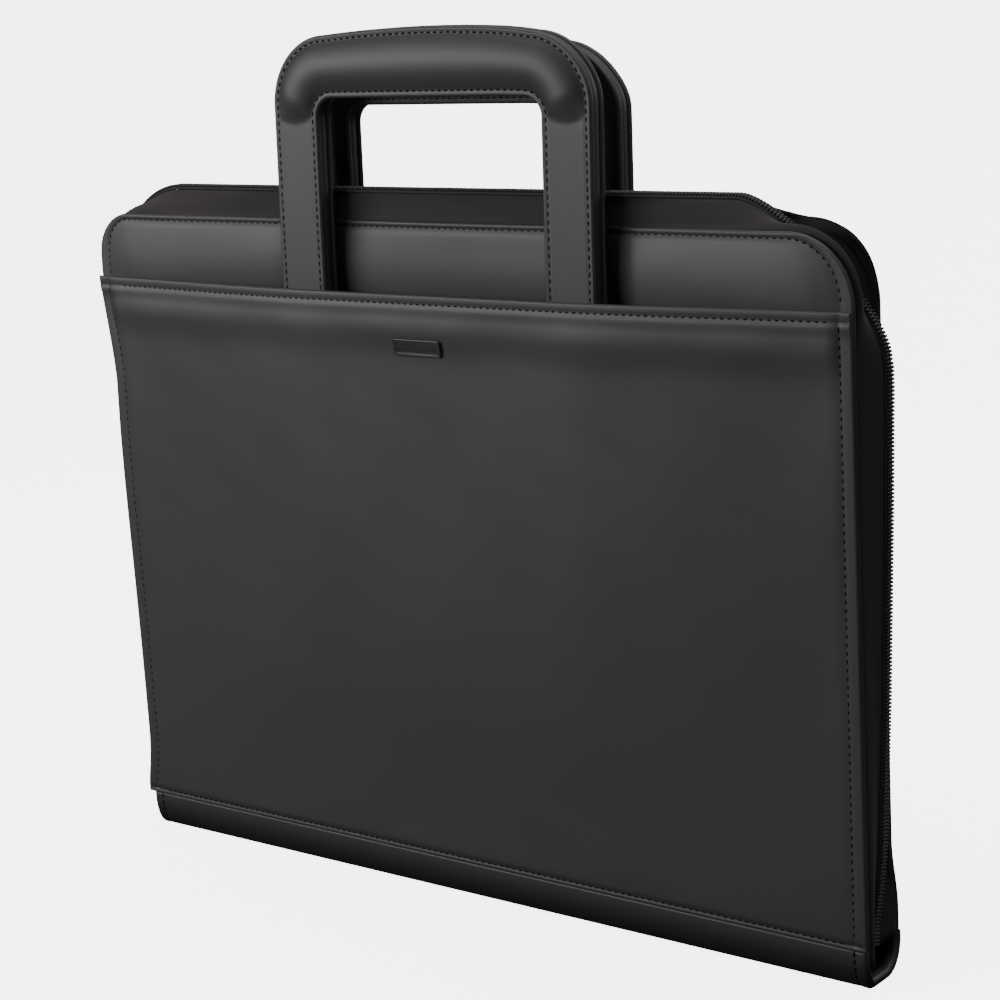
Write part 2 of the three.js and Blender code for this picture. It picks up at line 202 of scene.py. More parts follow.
class CaseColours(PropertyGroup):
    """The colours of the finishes."""

    leather: tint("Leather", "Black of the leather", (0.0014, 0.0012, 0.0014))
    # The pale edge colour: worn edges, and the painted highlight along the pocket panels' foot.
    edge: tint("Edge", "Worn edge of the leather", (0.055, 0.05, 0.05))
    nylon: tint("Nylon", "Olive black of the gussets", (0.0024, 0.0022, 0.0016))
    thread: tint("Thread", "Black of the stitches", (0.0006, 0.0006, 0.0006))
    coil: tint("Coil", "Colour of the zip's teeth", (0.022, 0.021, 0.017))
    metal: tint("Metal", "Colour of the slider and plate", (0.045, 0.045, 0.048))
    floor: tint("Floor", "Colour of the floor", (0.86, 0.86, 0.86))


def sizes():
    """The shared sizes in millimetres."""
    group = bpy.context.scene.case_sizes
    s = SimpleNamespace(**{k: getattr(group, k) / MM for k in CaseSizes.__annotations__})
    s.half = s.width / 2
    s.half_handle = s.handle_width / 2
    s.lowest_leg = LEG_BOTTOM - (PAD_END - s.lip)
    return s


# Shapes of curves and surfaces


def ease(low, high, value):
    """A smooth step: 0 below low, 1 above high and 3t^2 - 2t^3 between them."""
    t = np.clip((value - low) / (high - low), 0, 1)
    return t * t * (3 - 2 * t)


def lerp(a, b, t):
    """The straight mix of a and b."""
    return a + (b - a) * t


def bell(distance, spread):
    """A bump of height 1: e to the minus square of distance over spread."""
    return np.exp(-((distance / spread) ** 2))


def graded(low, high, step):
    """Numbers from low to high, close together by both ends as RIM says and a step apart between."""
    count = max(2, round((high - low - 2 * RIM[-1]) / step) + 1)
    middle = np.linspace(low + RIM[-1], high - RIM[-1], count)
    return np.concatenate([low + RIM[:-1], middle, (high - RIM[:-1])[::-1]])


def rounded(distance, radius):
    """A quarter circle's rise: the root of 1 - (1 - distance/radius)^2, and 1 past the radius."""
    t = 1 - np.clip(distance / radius, 0, 1)
    return np.sqrt(1 - t * t)


def ripple(x, z, seed):
    """Soft unevenness between -1 and 1: a sum of five slanted sine waves 23 to 140 long."""
    rng = np.random.default_rng(seed)
    total = 0
    for length in RIPPLE_LENGTHS:
        turn, phase = rng.uniform(0, 2 * np.pi, 2)
        along = x * np.cos(turn) + z * np.sin(turn)
        total = total + length * np.sin(2 * np.pi * along / length + phase)
    return total / sum(RIPPLE_LENGTHS)


def unit(v):
    """Vectors of length 1."""
    return v / np.maximum(np.linalg.norm(v, axis=-1, keepdims=True), 1e-9)


def normals(grid):
    """The normals of a grid: the cross product of its differences down and across."""
    return unit(np.cross(np.gradient(grid, axis=0), np.gradient(grid, axis=1)))


def arc_length(path):
    """How far along a path each of its points is."""
    return np.concatenate([[0], np.cumsum(np.linalg.norm(np.diff(path, axis=0), axis=1))])


def resample(path, at):
    """The points of a path at the given distances along it."""
    length = arc_length(path)
    return np.stack([np.interp(at, length, path[:, i]) for i in range(path.shape[1])], axis=1)


def corner_cut(points, times=2):
    """Rounds a section: each stretch keeps its points at one and three quarters, and both ends stay."""
    for _ in range(times):
        a, b = points[:, :-1], points[:, 1:]
        cut = np.stack([0.75 * a + 0.25 * b, 0.25 * a + 0.75 * b], axis=2)
        cut = cut.reshape(len(points), -1, points.shape[2])
        points = np.concatenate([points[:, :1], cut, points[:, -1:]], axis=1)
    return points


def squares(index):
    """The squares of a grid of point numbers."""
    corners = [index[:-1, :-1], index[:-1, 1:], index[1:, 1:], index[1:, :-1]]
    return np.stack(corners, axis=-1).reshape(-1, 4)


# A part of a piece: points (n, 3) in millimetres, faces (m, 4), and named numbers per point.


def part(points, faces, material=0, **marks):
    """A part of a piece, turned to face outwards by the sign of its volume."""
    a, b, c, d = (points[faces[:, i]] for i in range(4))
    volume = np.sum(a * (np.cross(b, c) + np.cross(c, d)))
    if volume < 0:
        faces = faces[:, ::-1]
    return SimpleNamespace(points=points, faces=faces, material=material, marks=marks)


def skin(outer, inner, material=0, **marks):
    """A closed skin between two grids whose rims are the same points."""
    rows, columns = outer.shape[:2]
    front = np.arange(rows * columns).reshape(rows, columns)
    back = np.full_like(front, -1)
    back[1:-1, 1:-1] = rows * columns + np.arange((rows - 2) * (columns - 2)).reshape(rows - 2, -1)
    back = np.where(back < 0, front, back)
    points = np.concatenate([outer.reshape(-1, 3), inner[1:-1, 1:-1].reshape(-1, 3)])
    faces = np.concatenate([squares(front), squares(back)[:, ::-1]])
    both = {}
    for name, value in marks.items():
        value = np.broadcast_to(value, (rows, columns, 3))
        both[name] = np.concatenate([value.reshape(-1, 3), value[1:-1, 1:-1].reshape(-1, 3)])
    return part(points, faces, material, **both)


def swelled(middle, half, profile, up=None):
    """The two faces of a skin round a middle surface: the surface moved out and back along its normal
    by half times the profile, which is 0 along the rim. up is moved out on top of that."""
    n = normals(middle)
    rise = 0 if up is None else up[..., None] * (profile > 0)[..., None]
    offset = n * (half * profile)[..., None]
    return middle + offset + n * rise, middle - offset + n * rise


def tube(path, radius, sides, start=(0, 0, 1)):
    """A closed round bar: circles of a radius, or of one for each point, round a path, with their
    first and last circles drawn to a point."""
    tangent = unit(np.gradient(path, axis=0))
    side = unit(np.cross(tangent, np.broadcast_to(np.array(start, float), path.shape)))
    over = np.cross(side, tangent)
    turn = np.linspace(0, 2 * np.pi, sides, endpoint=False)
    radius = np.broadcast_to(radius, len(path))[:, None, None]
    ring = side[:, None] * np.cos(turn)[None, :, None] + over[:, None] * np.sin(turn)[None, :, None]
    points = (path[:, None] + ring * radius).reshape(-1, 3)
    index = np.arange(len(points)).reshape(len(path), sides)
    index = np.concatenate([index, index[:, :1]], axis=1)
    points = np.concatenate([points, path[[0, -1]]])
    first, last = len(points) - 2, len(points) - 1
    caps = [
        np.stack([index[0, :-1], index[0, 1:], np.full(sides, first), np.full(sides, first)], 1),
        np.stack([index[-1, 1:], index[-1, :-1], np.full(sides, last), np.full(sides, last)], 1),
    ]
    return points, np.concatenate([squares(index)[:, ::-1], *caps])


def ball_faces(rings, sides):
    """The faces of a ball: squares between its rings, and a fan to the point at either end."""
    index = np.arange(rings * sides).reshape(rings, sides)
    index = np.concatenate([index, index[:, :1]], axis=1)
    first, last = np.full(sides, rings * sides), np.full(sides, rings * sides + 1)
    fans = [
        np.stack([first, first, index[0, 1:], index[0, :-1]], 1),
        np.stack([index[-1, :-1], index[-1, 1:], last, last], 1),
    ]
    return np.concatenate([squares(index), *fans])


def beads(centres, along, out, size, material=0, rings=5, sides=6, bend=0.0):
    """Many like beads as one part. Each is an ellipsoid with half axes size = (along, across, out)
    on its own directions, whose ends dip by bend times its length squared."""
    turn = np.linspace(0, 2 * np.pi, sides, endpoint=False)
    down = np.linspace(0, np.pi, rings + 2)[1:-1]
    ring = np.stack(
        [
            np.repeat(np.cos(down)[:, None], sides, 1),
            np.sin(down)[:, None] * np.cos(turn),
            np.sin(down)[:, None] * np.sin(turn),
        ],
        axis=-1,
    ).reshape(-1, 3)
    shape = np.concatenate([ring, [[1, 0, 0], [-1, 0, 0]]]) * np.array(size)
    shape[:, 2] -= bend * shape[:, 0] ** 2
    along = unit(along)
    out = unit(out - along * np.sum(out * along, axis=1, keepdims=True))
    across = np.cross(out, along)
    axes = np.stack([along, across, out], axis=1)
    points = centres[:, None] + np.einsum("pi,nij->npj", shape, axes)
    faces = ball_faces(rings, sides)
    count = len(shape)
    faces = (faces[None] + (np.arange(len(centres)) * count)[:, None, None]).reshape(-1, 4)
    return part(points.reshape(-1, 3), faces, material)


def stitches(centre, along, out):
    """Stitches at the given places, lying along and facing out as given."""
    return beads(centre, along, out, STITCH, rings=4, sides=5, bend=0.12)


def build(name, parts, finishes, body, replaces=()):
    """Makes one object of its parts, in metres, with its finishes, hangs it on its body's empty and hides
    the model parts it replaces.
    """
    points = np.concatenate([p.points for p in parts])
    starts = np.cumsum([0] + [len(p.points) for p in parts[:-1]])
    mesh = bpy.data.meshes.new(name)
    corners, counts, kinds = [], [], []
    for p, start in zip(parts, starts):
        same = (p.faces[:, 0] == p.faces[:, 1]) | (p.faces[:, 2] == p.faces[:, 3])
        whole = p.faces[~same]
        fan = p.faces[same]
        three = np.where((fan[:, 0] == fan[:, 1])[:, None], fan[:, 1:], fan[:, :3])
        corners += [(whole + start).ravel(), (three + start).ravel()]
        counts += [np.full(len(whole), 4), np.full(len(three), 3)]
        kinds.append(np.full(len(p.faces), p.material))
    corners, counts, kinds = (np.concatenate(v).astype(np.int32) for v in (corners, counts, kinds))
    mesh.vertices.add(len(points))
    mesh.vertices.foreach_set("co", (points * MM).astype(np.float32).ravel())
    mesh.loops.add(len(corners))
    mesh.loops.foreach_set("vertex_index", corners)
    mesh.polygons.add(len(counts))
    loop_start = np.concatenate([[0], np.cumsum(counts)[:-1]]).astype(np.int32)
    mesh.polygons.foreach_set("loop_start", loop_start)
    mesh.polygons.foreach_set("material_index", kinds)
    mesh.polygons.foreach_set("use_smooth", np.ones(len(counts), bool))
    for mark in sorted({k for p in parts for k in p.marks}):
        blank = np.full((1, 3), FAR)
        rows = [p.marks.get(mark, np.broadcast_to(blank, (len(p.points), 3))) for p in parts]
        mesh.attributes.new(mark, "FLOAT_VECTOR", "POINT").data.foreach_set(
            "vector", np.concatenate(rows).astype(np.float32).ravel())
    for kind in finishes:
        mesh.materials.append(finish(kind))
    mesh.update(calc_edges=True)
    if mesh.validate():
        raise RuntimeError(f"{name}: the mesh had bad faces")
    made = bpy.data.objects.new(name, mesh)
    bpy.context.scene.collection.objects.link(made)
    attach(made, body)
    if replaces:
        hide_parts(*replaces)
    return made


# Finishes


class Graph:
    """A short way to write a material's nodes: each call adds a node and links what it is given."""

    def __init__(self, name):
        self.material = bpy.data.materials.new(name)
        self.material.use_nodes = True
        self.tree = self.material.node_tree
        self.tree.nodes.clear()
        self.shader = self.add("ShaderNodeBsdfPrincipled")
        output = self.add("ShaderNodeOutputMaterial")
        self.tree.links.new(self.shader.outputs[0], output.inputs["Surface"])

    def add(self, kind, **settings):
        made = self.tree.nodes.new(kind)
        for key, value in settings.items():
            setattr(made, key, value)
        return made

    def put(self, socket, value):
        if isinstance(value, bpy.types.NodeSocket):
            self.tree.links.new(value, socket)
        elif hasattr(value, "__len__") and len(value) == 3 and socket.type == "RGBA":
            socket.default_value = (*value, 1)
        else:
            socket.default_value = value

    def math(self, operation, a, b=0.0, c=0.0):
        made = self.add("ShaderNodeMath", operation=operation)
        for socket, value in zip(made.inputs, (a, b, c)):
            self.put(socket, value)
        return made.outputs[0]

    def coords(self, scale=(1, 1, 1), turn=(0, 0, 0)):
        place = self.add("ShaderNodeTexCoord")
        mapping = self.add("ShaderNodeMapping")
        mapping.inputs["Scale"].default_value = scale
        mapping.inputs["Rotation"].default_value = turn
        self.tree.links.new(place.outputs["Object"], mapping.inputs["Vector"])
        return mapping.outputs[0]

    def noise(self, scale, detail=2.0, rough=0.5, vector=None):
        made = self.add("ShaderNodeTexNoise")
        for key, value in (("Scale", scale), ("Detail", detail), ("Roughness", rough)):
            made.inputs[key].default_value = value
        self.put(made.inputs["Vector"], vector if vector is not None else self.coords())
        return made.outputs["Fac"]

    def voronoi(self, scale):
        made = self.add("ShaderNodeTexVoronoi", feature="DISTANCE_TO_EDGE")
        made.inputs["Scale"].default_value = scale
        self.put(made.inputs["Vector"], self.coords())
        return made.outputs["Distance"]

    def mark(self, name):
        split = self.add("ShaderNodeSeparateXYZ")
        source = self.add("ShaderNodeAttribute", attribute_name=name)
        self.tree.links.new(source.outputs["Vector"], split.inputs[0])
        return split.outputs

    def mix(self, share, a, b):
        made = self.add("ShaderNodeMix", data_type="RGBA")
        self.put(made.inputs["Factor"], share)
        self.put(made.inputs["A"], a)
        self.put(made.inputs["B"], b)
        return made.outputs["Result"]

    def bell(self, offset, spread):
        ratio = self.math("DIVIDE", offset, spread)
        return self.math("EXPONENT", self.math("MULTIPLY", self.math("MULTIPLY", ratio, ratio), -1.0))

    def bump(self, height, strength, distance):
        made = self.add("ShaderNodeBump")
        made.inputs["Strength"].default_value = strength
        made.inputs["Distance"].default_value = distance
        self.put(made.inputs["Height"], height)
        self.tree.links.new(made.outputs[0], self.shader.inputs["Normal"])

    def set(self, **values):
        for key, value in values.items():
            self.put(self.shader.inputs[key.replace("_", " ")], value)
        return self.material


def chosen(name):
    """A colour as the panel holds it."""
    return tuple(getattr(bpy.context.scene.case_colours, name))


def shade(colour, by):
    """A colour with its channels multiplied."""
    return tuple(by * c for c in colour)


def seam_puckers(g):
    """The leather's pull towards its stitches: for each of the two marks, a bell across the row
    times a raised cosine along it, deepest at the stitch holes."""
    total = 0.0
    for name in ("seam_level", "seam_upright"):
        along, off, _ = g.mark(name)
        wave = g.math("COSINE", g.math("MULTIPLY", along, 2 * np.pi))
        dips = g.math("MULTIPLY_ADD", wave, 0.5, 0.5)
        total = g.math("MULTIPLY_ADD", g.bell(off, 1.5), dips, total)
    return total


def leather(name, rough=0.345, grain=0.25, edge_share=0.8):
    """Smooth black leather: a fine cell grain, soft unevenness, puckered seams and paler edges, worn at
    most edges and a painted highlight along the pocket panels' foot.
    """
    g = Graph(name)
    cells = g.voronoi(1150)
    fine = g.noise(2600, 3)
    soft = g.noise(38, 4, 0.55)
    broad = g.noise(9, 3)
    puckers = seam_puckers(g)
    base = chosen("leather")
    pale = shade(base, 1.9)
    colour = g.mix(g.math("MULTIPLY", soft, 0.7), base, pale)
    # Paler edges by the mark's third number: worn edges, and a painted highlight along the pocket panels'
    # foot.
    pale_edge = g.math("MULTIPLY", g.mark("seam_level")[2], g.math("MULTIPLY", g.noise(160, 4), 2 * edge_share))
    pale_edge = g.math("MINIMUM", g.math("MAXIMUM", pale_edge, 0.0), 1.0)
    colour = g.mix(pale_edge, colour, chosen("edge"))
    roughness = g.math("MULTIPLY_ADD", broad, 0.16, rough - 0.08)
    roughness = g.math("MULTIPLY_ADD", soft, 0.1, g.math("SUBTRACT", roughness, 0.05))
    roughness = g.math("MULTIPLY_ADD", g.math("MINIMUM", puckers, 1.0), 0.4, roughness)
    height = g.math("MULTIPLY_ADD", g.math("MINIMUM", cells, 0.12), grain, g.math("MULTIPLY", fine, 0.03))
    height = g.math("MULTIPLY_ADD", soft, 0.9, height)
    height = g.math("MULTIPLY_ADD", puckers, -2.0, height)
    g.bump(height, 0.8, 0.0005)
    return g.set(
        Base_Color=colour, Roughness=roughness, Specular_IOR_Level=0.42, Specular_Tint=(0.97, 0.92, 1.0))


def nylon(name):
    """Olive-black twill: slanted ribs every 0.9 mm that follow the mark's lengths, crossed by noise."""
    g = Graph(name)
    along, across, _ = g.mark("weave")
    slant = g.math("ADD", along, g.math("MULTIPLY", across, 1.3))
    rib = g.math("MULTIPLY_ADD", g.math("SINE", g.math("MULTIPLY", slant, 2 * np.pi / 0.9)), 0.5, 0.5)
    cross = g.math("SINE", g.math("MULTIPLY", g.math("SUBTRACT", along, across), 2 * np.pi / 0.55))
    thread = g.math("MULTIPLY_ADD", cross, 0.15, rib)
    soft = g.noise(55, 3)
    base = chosen("nylon")
    colour = g.mix(g.math("MULTIPLY", thread, 0.8), shade(base, 0.55), shade(base, 1.7))
    colour = g.mix(g.math("MULTIPLY", soft, 0.5), colour, shade(base, 0.7))
    g.bump(g.math("MULTIPLY_ADD", soft, 0.4, thread), 0.55, 0.00025)
    return g.set(Base_Color=colour, Roughness=0.75, Specular_IOR_Level=0.3)


def thread(name):
    """Twisted thread: a fine slanted noise."""
    g = Graph(name)
    twist = g.noise(2500, 1, 0.5, g.coords((1, 1, 0.3), (0.5, 0.4, 0.6)))
    base = chosen("thread")
    g.bump(twist, 0.4, 0.0002)
    return g.set(Base_Color=g.mix(twist, base, shade(base, 2.4)), Roughness=0.85, Specular_IOR_Level=0.15)


def coil(name):
    """The zip's plastic: smooth, a little uneven in colour and gloss."""
    g = Graph(name)
    soft = g.noise(300, 2)
    base = chosen("coil")
    colour = g.mix(soft, shade(base, 0.7), shade(base, 1.5))
    return g.set(Base_Color=colour, Roughness=g.math("MULTIPLY_ADD", soft, 0.2, 0.3))


def dark_metal(name):
    """Dark plated metal with fine brushing along X."""
    g = Graph(name)
    lines = g.noise(900, 3, 0.6, g.coords((0.06, 1, 1)))
    base = chosen("metal")
    colour = g.mix(lines, shade(base, 0.7), shade(base, 1.4))
    g.bump(lines, 0.15, 0.0002)
    return g.set(Base_Color=colour, Metallic=0.85, Roughness=g.math("MULTIPLY_ADD", lines, 0.2, 0.28))


def floor_finish(name):
    """The stage's pale matt floor."""
    g = Graph(name)
    soft = g.noise(1.5, 2)
    base = chosen("floor")
    colour = g.mix(g.math("MULTIPLY", soft, 0.05), base, (0.8, 0.8, 0.8))
    return g.set(Base_Color=colour, Roughness=0.8, Emission_Color=(1, 1, 1), Emission_Strength=4.6)


FINISHES = {
    "leather": leather,
    "nylon": nylon,
    "thread": thread,
    "coil": coil,
    "dark_metal": dark_metal,
    "floor": floor_finish,
}


def finish(name):
    """The material of a finish, made once."""
    return bpy.data.materials.get(name) or FINISHES[name](name)


# The covers' shape, as the part's source has it


def pinch_across(s, x):
    """1 where the handles draw the covers together, easing to 0 by the side edges."""
    return 1 - ease(s.half_handle + PINCH_MARGIN, s.half - PINCH_SIDE_MARGIN, np.abs(x))


def pinch_up(s, z):
    """0 at the spine, easing to 1 just below the handles' lowest place."""
    return ease(s.seam + PINCH_FOOT_MARGIN, s.lowest_leg - PINCH_MARGIN, z)


def edge_depth(s, side, z):
    """How far a cover's side edge lies from the middle plane."""
    low = HALF_SPINE[side] - SPINE_STEP
    if side < 0:
        return low + 0 * z
    return lerp(low, BACK_EDGE_DEPTH, ease(s.seam + BACK_FLARE[0], s.seam + BACK_FLARE[1], z))


def cover_face(s, side, x, z):
    """How far a cover's outer face lies from the middle plane."""
    edge = edge_depth(s, side, z)
    return edge + (PINCH_DEPTH - edge) * pinch_across(s, x) * pinch_up(s, z)


def panel_inside(s, side, x, z):
    """How far a pocket panel's inner face lies from the middle plane: on the cover at its sewn
    edges, over the handle between them."""
    edge = edge_depth(s, side, z) + GAP
    over_handle = PINCH_DEPTH + GAP + HANDLE_THICKNESS + GAP
    slack = PANEL_SLACK * ease(s.seam, s.lip / 2, z)
    return edge + (over_handle + slack - edge) * pinch_across(s, x) * pinch_up(s, z)


def wave_out(s, z):
    """The bulge of the sagged left edge: the tallest of the bells of EDGE_WAVE."""
    share = z / s.top
    bells = [a * bell(share - at, np.where(share < at, low, high)) for at, a, low, high in EDGE_WAVE]
    return EDGE_WAVE_REACH * np.max(bells, axis=0)


def corner_inset(s, radius, z):
    """How far a round top corner is drawn in at a height: the radius less a circle's chord."""
    into = np.clip(z - (s.top - radius), 0, radius)
    return radius - np.sqrt(radius**2 - into**2)


def edge_x(s, hand, side, z):
    """Half the cover's width at a height, on the left (hand -1) or right."""
    if side < 0 and hand < 0:
        return s.half + wave_out(s, z) - corner_inset(s, SAGGED_CORNER, z)
    return s.half - corner_inset(s, CORNER_RADIUS, z)


def sag(s, x, z):
    """How far the upper edges have dropped: a parabola across, easing in upwards."""
    return TOP_SAG * (1 - (x / s.half) ** 2) * ease(SAG_START * s.top, s.top, z)


def across_and_up(s, side, low, high, narrow=0.0):
    """A grid over a cover's outline, less a narrow strip at the sides: x and z."""
    share = graded(-s.half, s.half, 3.0)[None] / s.half
    z = graded(low, high, 3.0)[:, None]
    x = share * (cover_reach(s, side, share, z) - narrow)
    return x, z + 0 * x


def cover_reach(s, side, x, z):
    """Half the cover's width at a height, on the side that x is on."""
    return np.where(x < 0, edge_x(s, -1, side, z), edge_x(s, 1, side, z))


def inwards_of(s, side, x, z, narrow=0.0):
    """How far x is in from the side edge, in lengths of the straight middle part."""
    return (1 - np.abs(x) / (cover_reach(s, side, x, z) - narrow)) * s.half


def seam_marks(s, x, z, level_off, upright_off, pale_edge):
    """The marks that the leather's puckers and pale edges read, in pitches along and millimetres off; the
    pale edges are worn edges and a painted highlight at the panel's foot.
    """
    level = np.stack([x / s.stitch, level_off, pale_edge], axis=-1)
    upright = np.stack([z / s.stitch, upright_off, 0 * x], axis=-1)
    return {"seam_level": level, "seam_upright": upright}


def pressed_rows(rim, *offs):
    """The shallow valleys that the stitch rows press into the leather."""
    return -PRESS_DEPTH * sum(bell(off, 1.0) for off in offs) * ease(0.2, 1.6, rim)


def row_round(s, side, x, z):
    """The row that follows a cover's side, its round corner and its top: where a place is along it,
    in pitches, and how far inside it, in millimetres."""
    sagged = (side < 0) & (x < 0)
    radius = np.where(sagged, SAGGED_CORNER, CORNER_RADIUS)
    half = s.half + np.where(sagged, wave_out(s, z), 0)
    dx, dz = np.abs(x) - half + radius, z - s.top + radius
    angle = np.arctan2(np.maximum(dz, 0), np.maximum(dx, 1e-6))
    row = lerp(SIDE_ROW, TOP_ROW, ease(0, np.pi / 2, angle))
    side_off, top_off = half - np.abs(x) - SIDE_ROW, s.top - z - TOP_ROW
    at_corner = (dx > 0) & (dz > 0)
    off = np.where(at_corner, radius - np.hypot(dx, dz) - row, np.minimum(side_off, top_off))
    straight = np.where(side_off < top_off, z, x)
    along = np.where(at_corner, s.top - radius + (radius - TOP_ROW) * angle, straight)
    return along / s.stitch, off


def cover_outside(s, side, x, z):
    """The depth of a cover's outer face: its plain face, pressed in along the stitch rows, puffed
    between the pocket's lip and the top row by a half sine, and softly uneven."""
    inwards = inwards_of(s, side, x, z)
    above = s.top - z
    rim = np.minimum(inwards, np.minimum(z - s.seam, above))
    puff_share = np.clip((z - s.lip + 8) / (s.top - TOP_ROW - s.lip + 8), 0, 1)
    puff = 1.5 * np.sin(np.pi * puff_share) ** 0.8 * ease(SIDE_ROW, SIDE_ROW + 14, inwards)
    under_handle = ease(s.half_handle + 12, s.half_handle + 2, np.abs(x))
    puff = puff - 1.6 * under_handle * ease(s.lip - 30, s.lip - 10, z)
    uneven = 0.3 * (ripple(x, z, 11 + side) - under_handle) * ease(3, 12, rim)
    _, off = row_round(s, side, x, z)
    return cover_face(s, side, x, z) + puff + uneven + pressed_rows(rim, off)


def cover_part(s, side):
    """A cover's skin: its outer face and the wall behind it, with round rims."""
    x, z = across_and_up(s, side, s.seam, s.top)
    inwards, above = inwards_of(s, side, x, z), s.top - z
    rim = np.minimum(inwards, np.minimum(z - s.seam, above))
    face = cover_outside(s, side, x, z)
    along, off = row_round(s, side, x, z)
    marks = {"seam_level": np.stack([along, off, ease(1.1, 0.1, rim)], axis=-1)}
    return board(s, side, x, z, face, COVER_WALL, rounded(rim, 1.1), marks)


def board(s, side, x, z, face, wall, profile, marks):
    """A skin behind an outer face given as depths: a middle surface half the wall behind it, swelled
    by half the wall times the profile."""
    middle = np.stack([x, side * (face - wall / 2), z - sag(s, x, z)], axis=-1)
    one, other = swelled(middle, wall / 2, profile)
    if side * face_sign(middle) < 0:
        one, other = other, one
    return skin(one, other, **marks)


def face_sign(grid):
    """The sign of the normals' Y at the middle of a grid."""
    rows, columns = grid.shape[:2]
    r, c = rows // 2, columns // 2
    return float(np.sign(normals(grid[r - 1 : r + 2, c - 1 : c + 2])[1, 1, 1]))


def panel_offsets(s, side, x, z):
    """How far a place on a pocket panel is from its nearest level row, from the upright row, and
    from the panel's rim."""
    inwards = inwards_of(s, side, x, z, POCKET_NARROW[side])
    below, above = z - s.seam, s.lip - z
    level_off = np.where(above < below, above - LIP_ROW, below - SEAM_ROW)
    return level_off, inwards - SIDE_ROW, np.minimum(inwards, np.minimum(below, above))


def panel_outside(s, side, x, z):
    """The depth of a pocket panel's outer face: inner face and wall, thicker where the lip is turned
    over, with the handle's legs showing through as soft ridges, a puff under the lip's stitches,
    valleys along the rows, creases under the lip and a soft unevenness."""
    level_off, upright_off, rim = panel_offsets(s, side, x, z)
    above = s.lip - z
    leg = ease(s.lowest_leg, LEG_BOTTOM + 6, z) * ease(s.lip + 2, s.lip - 30, z)
    over = bell(np.abs(x) - (s.half_handle - LEG_WIDTH / 2), 15) - 0.5 * bell(x, 30)
    legs_below = bell(np.abs(x) - (s.half_handle - LEG_WIDTH / 2), 19)
    legs_below = legs_below * ease(s.seam + 30, s.lowest_leg + 20, z)
    puff = 1.3 * bell(above - LIP_ROW - 9, 7.5) * ease(3, 9, upright_off + SIDE_ROW)
    crease = bell(above - 15 - 3 * np.sin(x / 31), 6) * np.sin(x / 9 + 2 * np.sin(x / 23))
    crease = crease * ease(7, 10, above)
    relief = 0.7 * over * leg + 0.5 * legs_below + puff
    relief = relief + (0.45 * ripple(x, z, 21 + side) + 0.12 * crease) * ease(3, 14, rim)
    hem = 0.5 * ease(7.5, 5.5, above)
    face = panel_inside(s, side, x, z) + PANEL_WALL + hem + relief
    return face + pressed_rows(rim, level_off, upright_off)


def pocket_part(s, side):
    """A pocket panel's skin: its outer face and the wall behind it, thicker at the lip."""
    x, z = across_and_up(s, side, s.seam, s.lip, POCKET_NARROW[side])
    level_off, upright_off, rim = panel_offsets(s, side, x, z)
    above = s.lip - z
    wall = PANEL_WALL + 0.5 * ease(7.5, 5.5, above)
    # Pale edges: the lip and the sides are worn; the fainter pale line along the foot is a painted
    # highlight where the cut edge catches the light.
    free = np.minimum(above, upright_off + SIDE_ROW)
    pale_edge = np.maximum(ease(1.3, 0.2, free), 0.4 * ease(1.2, 0.2, z - s.seam))
    marks = seam_marks(s, x, z, level_off, upright_off, pale_edge)
    return board(s, side, x, z, panel_outside(s, side, x, z), wall, rounded(rim, 0.9), marks)


def spine_section(s, inward):
    """The spine's section as (y, z): a short upright stretch, a quarter ellipse, a flat strip and
    the same up the back, which stands a little further out."""
    turn = np.linspace(0, np.pi / 2, 40)
    halves = []
    for side, depth_at_top in HALF_SPINE.items():
        run = depth_at_top - STANDING_REACH[side] - inward
        depth = STANDING_REACH[side] + run * np.sin(turn)
        height = inward + (SPINE_CORNER - inward) * (1 - np.cos(turn))
        depth = np.append(depth, depth_at_top - inward)
        height = np.append(height, s.seam + 0.35)
        halves.append(np.stack([depth, height], 1))
    front, back = halves
    return np.concatenate([(front * [-1, 1])[::-1], back])


def spine_part(s):
    """The spine's skin: its section carried along X, with a thick rolled rim at both ends."""
    path = spine_section(s, SPINE_WALL / 2)
    length = arc_length(path)[-1]
    down = graded(0, length, 1.6)
    section = resample(path, down)
    x = graded(-s.half, s.half, 4.0)
    x_grid = x[None] + 0 * down[:, None]
    middle = np.stack([x_grid, section[:, :1] + 0 * x_grid, section[:, 1:] + 0 * x_grid], axis=-1)
    ends = s.half - np.abs(x_grid)
    edges = np.minimum(down, length - down)[:, None] + 0 * x_grid
    hem = ease(5.4, 3.6, ends)
    half = SPINE_WALL / 2 + 0.8 * hem
    profile = np.minimum(rounded(ends, 1.6), rounded(edges, 0.8))
    sign = -np.sign(normals(middle)[len(down) // 2, len(x) // 2, 2])
    standing = ease(9.5, 6.5, np.abs(middle[..., 1]))
    groove = 0.35 * bell(ends - SIDE_ROW, 0.9) * (1 - standing)
    outer, inner = swelled(middle, half, profile, -sign * (0.7 * hem + groove))
    if sign < 0:
        outer, inner = inner, outer
    pale_edge = 0.8 * ease(1.8, 0.2, ends)
    far = np.full_like(x_grid, FAR)
    level = np.stack([far, far, pale_edge], axis=-1)
    upright = np.stack([(down[:, None] + 0 * x_grid) / s.stitch, ends - SIDE_ROW, 0 * far], axis=-1)
    return skin(outer, inner, seam_level=level, seam_upright=upright)


